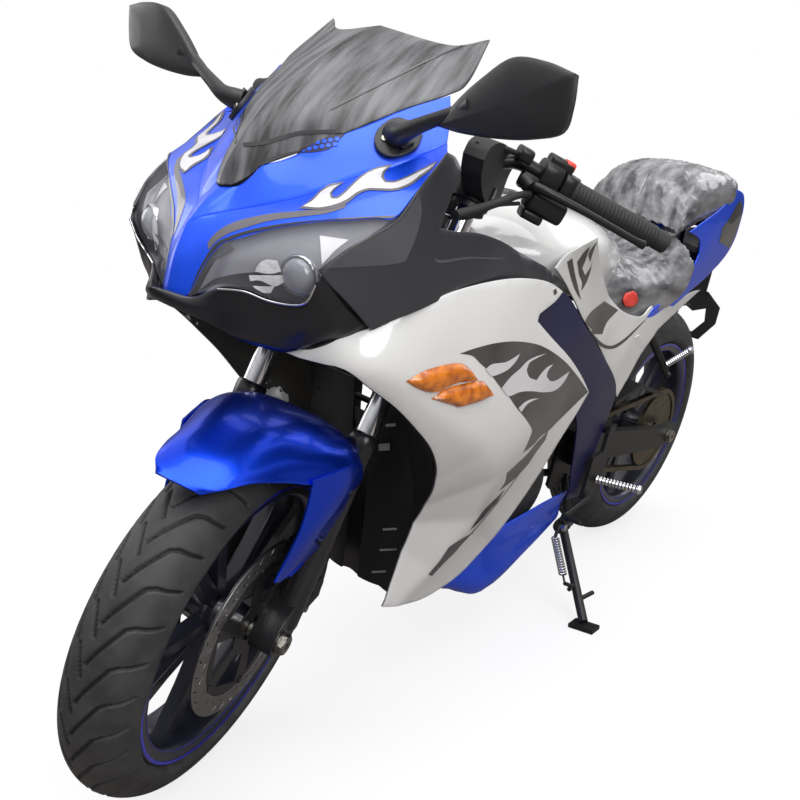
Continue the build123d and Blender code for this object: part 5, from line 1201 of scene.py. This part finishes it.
def crinkled(shape):
    """Presses the fine folds of a loose film into a skin."""
    corners, faces = shape
    moved = []
    for x, y, z in corners:
        spot = Vector((x, y * 1.6, z)) / FILM_SIZE
        fold = sum(share * abs(noise.noise(spot * finer)) for share, finer in FILM_WAVES)
        moved.append((x, y, z - FILM_FOLD * fold))
    return moved, faces


for seat, rows in (("seat_front", SEAT_FRONT), ("seat_rear", SEAT_REAR)):
    shape = crinkled(both(flipped(skin(rows, 9, 12))))
    cushion = piece(seat + "_vinyl", shape, seat_vinyl, seat, thick=3, crease=70)
tag_red = coated("tag_red", (0.75, 0.06, 0.04), 0.4, (0.6, 0.04, 0.03), 40)
TAG_PIXELS = [(625, 293), (632, 291), (636, 294), (637, 302), (631, 307), (624, 306), (622, 300)]
tag = traced(TAG_PIXELS, crinkled(flipped(skin(SEAT_FRONT, 9, 12))), 3, 3, 3)
piece("seat_film_tag", tag, tag_red, thick=2)

# Belly: a blue trough under the engine, open at the top, with a bright fold along each side.
BELLY = (
    [(522, 132, 300), (522, 124, 262), (522, 112, 222), (522, 0, 218)],
    [(640, 144, 312), (640, 134, 250), (640, 120, 186), (640, 0, 180)],
    [(780, 150, 312), (780, 138, 226), (780, 120, 141), (780, 0, 134)],
    [(885, 146, 312), (885, 132, 250), (885, 112, 186), (885, 0, 178)],
    [(985, 118, 300), (985, 102, 258), (985, 84, 216), (985, 0, 212)],
)
belly = both(skin(BELLY, 4, 6))
piece("belly_pan_blue", belly, blue_paint, "belly_pan", thick=3, edge=0.8, crease=30)

# Inner ducts, tail tray and dash: satin black plastic that closes the gaps between the mouldings,
# and a shroud round the radiator with short pale louvres.
inner_black = coated("inner_black", (0.012, 0.012, 0.013), 0.5, (0.02, 0.02, 0.021), grain=0.2, fine=900)
repaint(inner_black, "inner_fairings", "tail_tray", "plate_bracket", "instrument_cluster")
repaint(inner_black, "chain_guard", "rear_hugger", "tail_light", "rear_caliper")
shroud_rows = []
for z, ahead, wide, lift in (
    (548, 1060, 128, 0), (500, 1052, 142, 0), (430, 1040, 148, 0), (340, 1030, 138, 0), (270, 1022, 122, 0),
    (228, 1014, 112, 0), (200, 1010, 88, 7),
):
    outer, inner = [(ahead - 10, wide, z), (ahead, wide * 0.7, z)], (ahead + 3, wide * 0.35, z + lift)
    shroud_rows.append([*outer, inner, (ahead + 4, 0, z)])
shroud = skin(shroud_rows, 5, 8)
piece("radiator_shroud", both(shroud), inner_black, thick=3, edge=0.8, crease=40)
shroud_pale = coated("shroud_pale", (0.5, 0.5, 0.5), 0.5, (0.4, 0.4, 0.4), 40)
LOUVRE_PIXELS = (
    (383, 397, 527.5, 529.5), (380, 397, 548, 550), (372, 386, 570, 572), (386, 396, 423, 426),
    (379, 390, 443, 450),
)
inner_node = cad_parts["inner_fairings"]
to_bike = Matrix.Scale(1000, 4) @ parked.inverted() @ inner_node.matrix_world
duct_corners = [tuple(to_bike @ v.co) for v in inner_node.data.vertices]
ducts = joined((duct_corners, [tuple(f.vertices) for f in inner_node.data.polygons]), shroud)
louvres = []
for left, right, high, low in LOUVRE_PIXELS:
    outline = [(left, high + 0.8), (right, high), (right, low), (left, low + 0.8)]
    louvres.append(traced(outline, ducts, 1, 2, 3))
piece("shroud_louvres", joined(*louvres), shroud_pale)

# Bars: black clip-on bars on the fork tubes, ribbed rubber grips, switch boxes with a red stop button,
# two levers, the cables that run from them and a rubber cover on the left.
bar_black = coated("bar_black", (0.02, 0.02, 0.021), 0.35, metal=0.4, grain=0.15)
black_rubber, rubber_tint = (0.022, 0.022, 0.022), (0.014, 0.014, 0.014)
grip_rubber = coated("grip_rubber", black_rubber, 0.65, rubber_tint, grain=0.5, fine=700)
repaint(bar_black, "yokes")
BAR_LINE = [(1012, 99, 972), (1006, 118, 980), (990, 145, 987), (958, 199, 974), (862, 358, 936)]
low, high, top = (steer_point(along, FORK_AHEAD, FORK_SIDE) for along in (1008, 1046, 1052))
bars = both(tube(BAR_LINE, 11, 24), tube([low, high], 31, 36), tube([high, top], [27, 24], 36))
piece("clip_on_bars_black", bars, bar_black, "clip_on_bars", "steering", 0, 2.0, 42)
grip_start, grip_end, RIB = Vector((944, 222, 968.5)), Vector((862, 358, 936)), 2.2
grip_run = (grip_end - grip_start).normalized()
ribs = range(int((grip_end - grip_start).length / RIB))
grip_parts = [([grip_start + grip_run * k * RIB for k in ribs], [17.4 if k % 3 else 16.4 for k in ribs])]
for end, marks in (
    (grip_start, ((-4, 19), (-3, 21), (3, 21))),
    (grip_end, ((-4, 14), (2, 16), (20, 16), (22, 14))),
):
    grip_parts.append(([end + grip_run * far for far, _ in marks], [radius for _, radius in marks]))
grips = both(*(tube(path, sizes, 28, False) for path, sizes in grip_parts))
piece("grips_ribbed", grips, grip_rubber, "grips", "steering", crease=32)
BOX_SIDES, BOX_POWER = 24, 4
BOX_ENDS = ((-0.5, 0.82), (-0.46, 0.96), (-0.4, 1), (0.4, 1), (0.46, 0.96), (0.5, 0.82))


def block(centre, length, width, height):
    """A rounded box along the bar, with its width level and its height square to both."""
    run = Vector((-96, 159, -38)).normalized()
    level = Vector((0, 0, 1)).cross(run).normalized()
    rise = run.cross(level)
    corners = []
    for share, swell in BOX_ENDS:
        for k in range(BOX_SIDES):
            c, q = math.cos(2 * math.pi * k / BOX_SIDES), math.sin(2 * math.pi * k / BOX_SIDES)
            reach = (abs(c) ** BOX_POWER + abs(q) ** BOX_POWER) ** (-1 / BOX_POWER) * swell
            aside = level * c * reach * width / 2 + rise * q * reach * height / 2
            corners.append(tuple(Vector(centre) + run * share * length + aside))
    return capped(corners, BOX_SIDES)


controls = (
    block((966, 186, 978), 34, 42, 46),
    block((950, 212, 972), 22, 36, 40),
    block((974, 196, 940), 62, 40, 34),
    block((984, 182, 922), 34, 34, 16),
    block((956, 196, 1000), 40, 26, 18),
    block((998, 150, 1000), 22, 30, 22),
    block((1004, 168, 968), 26, 22, 24),
)
piece("switch_boxes", both(*controls), bar_black, "switchgear", "steering", 0, 0.8, 40)
button = block((951, 208, 1001), 16, 20, 15)
piece("engine_stop_button", button, tag_red, body="steering", crease=40)
LEVER = [(1006, 172, 966), (1004, 204, 964), (974, 262, 952), (926, 330, 933), (910, 350, 928)]
levers = both(tube(LEVER, [8, 7, 5.5, 5.5, 7], 18), tube([(1012, 160, 972), (1014, 176, 964)], 11, 20))
lever_nodes = "brake_and_clutch_levers"
piece(lever_nodes + "_black", levers, bar_black, lever_nodes, "steering", crease=40)
HOSE = [(1176, 130, 923), (1130, 142, 930), (1090, 158, 942), (1040, 170, 952), (1010, 178, 954)]
cables = both(
    tube(HOSE, [6.5, 6.5, 6, 5, 5], 16),
    tube([(1100, 108, 1004), (1060, 112, 1006), (1010, 138, 1000), (985, 160, 992)], 4, 14),
    tube([(1160, 118, 914), (1120, 134, 916), (1076, 152, 934), (1030, 172, 940)], 3, 12),
)
piece("bar_cables", cables, grip_rubber, body="steering", crease=60)
cover_loop = smooth_closed(
    [
        (1112, 990), (1100, 1006), (1068, 1012), (1020, 1006), (968, 988), (952, 974), (966, 958),
        (972, 922), (1010, 918), (1060, 934), (1098, 962),
    ],
    5,
    60,
)
cover = plate([cover_loop], 96, 128)
piece("bar_end_cover", cover, grip_rubber, body="steering", edge=6.0, crease=30)

# Frame, engine and swingarm: black tube and plate round one plain cast engine block.
frame_black = coated("frame_black", (0.02, 0.02, 0.021), 0.4, metal=0.2, grain=0.2)
cast, cast_tint = (0.07, 0.07, 0.072), (0.045, 0.045, 0.047)
cast_grey = coated("cast_grey", cast, 0.5, cast_tint, metal=0.6, grain=0.5, fine=200)
repaint(frame_black, "main_frame", "swingarm", "rear_shock", "peg_hangers")
repaint(frame_black, "gear_and_brake_pedals", "side_stand")
repaint(cast_grey, "engine", "exhaust")

# Foot pegs: bright ribbed bars with a collar at the outer end, for the rider and for a passenger.
peg_silver = coated("peg_silver", (0.7, 0.7, 0.72), 0.25, (0.5, 0.5, 0.52), 60, metal=1)
pegs, RIBS = [], 26
for root, tip, wide in (((489, 179, 338), (478, 276, 349), 9), ((192, 152, 545), (186, 196, 592), 8)):
    root, tip = Vector(root), Vector(tip)
    path = [root + (tip - root) * k / RIBS for k in range(RIBS + 1)]
    pegs.append(tube(path, [wide if k % 2 else wide * 0.72 for k in range(RIBS + 1)], 20, False))
    pegs.append(tube([tip, tip + (tip - root).normalized() * 5], [wide + 1.5, wide - 1], 20, False))
piece("foot_pegs_ribbed", both(*pegs), peg_silver, "foot_pegs", crease=30)

# Side stand: a coil spring beside the leg, hooked to the pivot above and to a tang on the leg below.
stand_eye, stand_pad, beside_leg = Vector((478, 122, 196)), Vector((600, 285, 62)), Vector((64, 12, 14))
top, foot, tang_end = [stand_eye.lerp(stand_pad, share) + beside_leg for share in (0.08, 0.45, 0.53)]
tang_root = stand_eye.lerp(stand_pad, 0.58) + Vector((30, 8, 5))
hooks = joined(
    tube([tang_root, tang_root.lerp(tang_end, 0.5), tang_end], 4.5, 10, False),
    tube([tang_end, tang_end.lerp(foot, 0.6), foot], 2.4, 10, False),
    tube([top, top + Vector((-16, -6, 14)), stand_eye + Vector((12, 3, 10))], 4, 12, False),
)
piece("side_stand_spring_hooks", hooks, frame_black, body="side_stand", crease=60)
COIL_RADIUS, COIL_STEPS, STEPS_A_TURN = 7.5, 240, 16
coil_right = (foot - top).normalized().orthogonal().normalized()
coil_ahead = (foot - top).normalized().cross(coil_right)
coil = []
for k in range(COIL_STEPS + 1):
    angle = k * 2 * math.pi / STEPS_A_TURN
    around = coil_right * math.cos(angle) + coil_ahead * math.sin(angle)
    coil.append(top.lerp(foot, k / COIL_STEPS) + around * COIL_RADIUS)
piece("side_stand_spring", tube(coil, 1.8, 8, False), peg_silver, body="side_stand", crease=60)
piece("side_stand_bolt", plate([round_loop((609, 262), 8, 6)], 186, 194), peg_silver, edge=0.8)

# Chain and sprocket: dull bronze steel.
chain_bronze = coated("chain_bronze", (0.20, 0.165, 0.10), 0.4, (0.10, 0.09, 0.07), 60, 1, grain=0.3)
repaint(chain_bronze, "rear_sprocket", "chain")
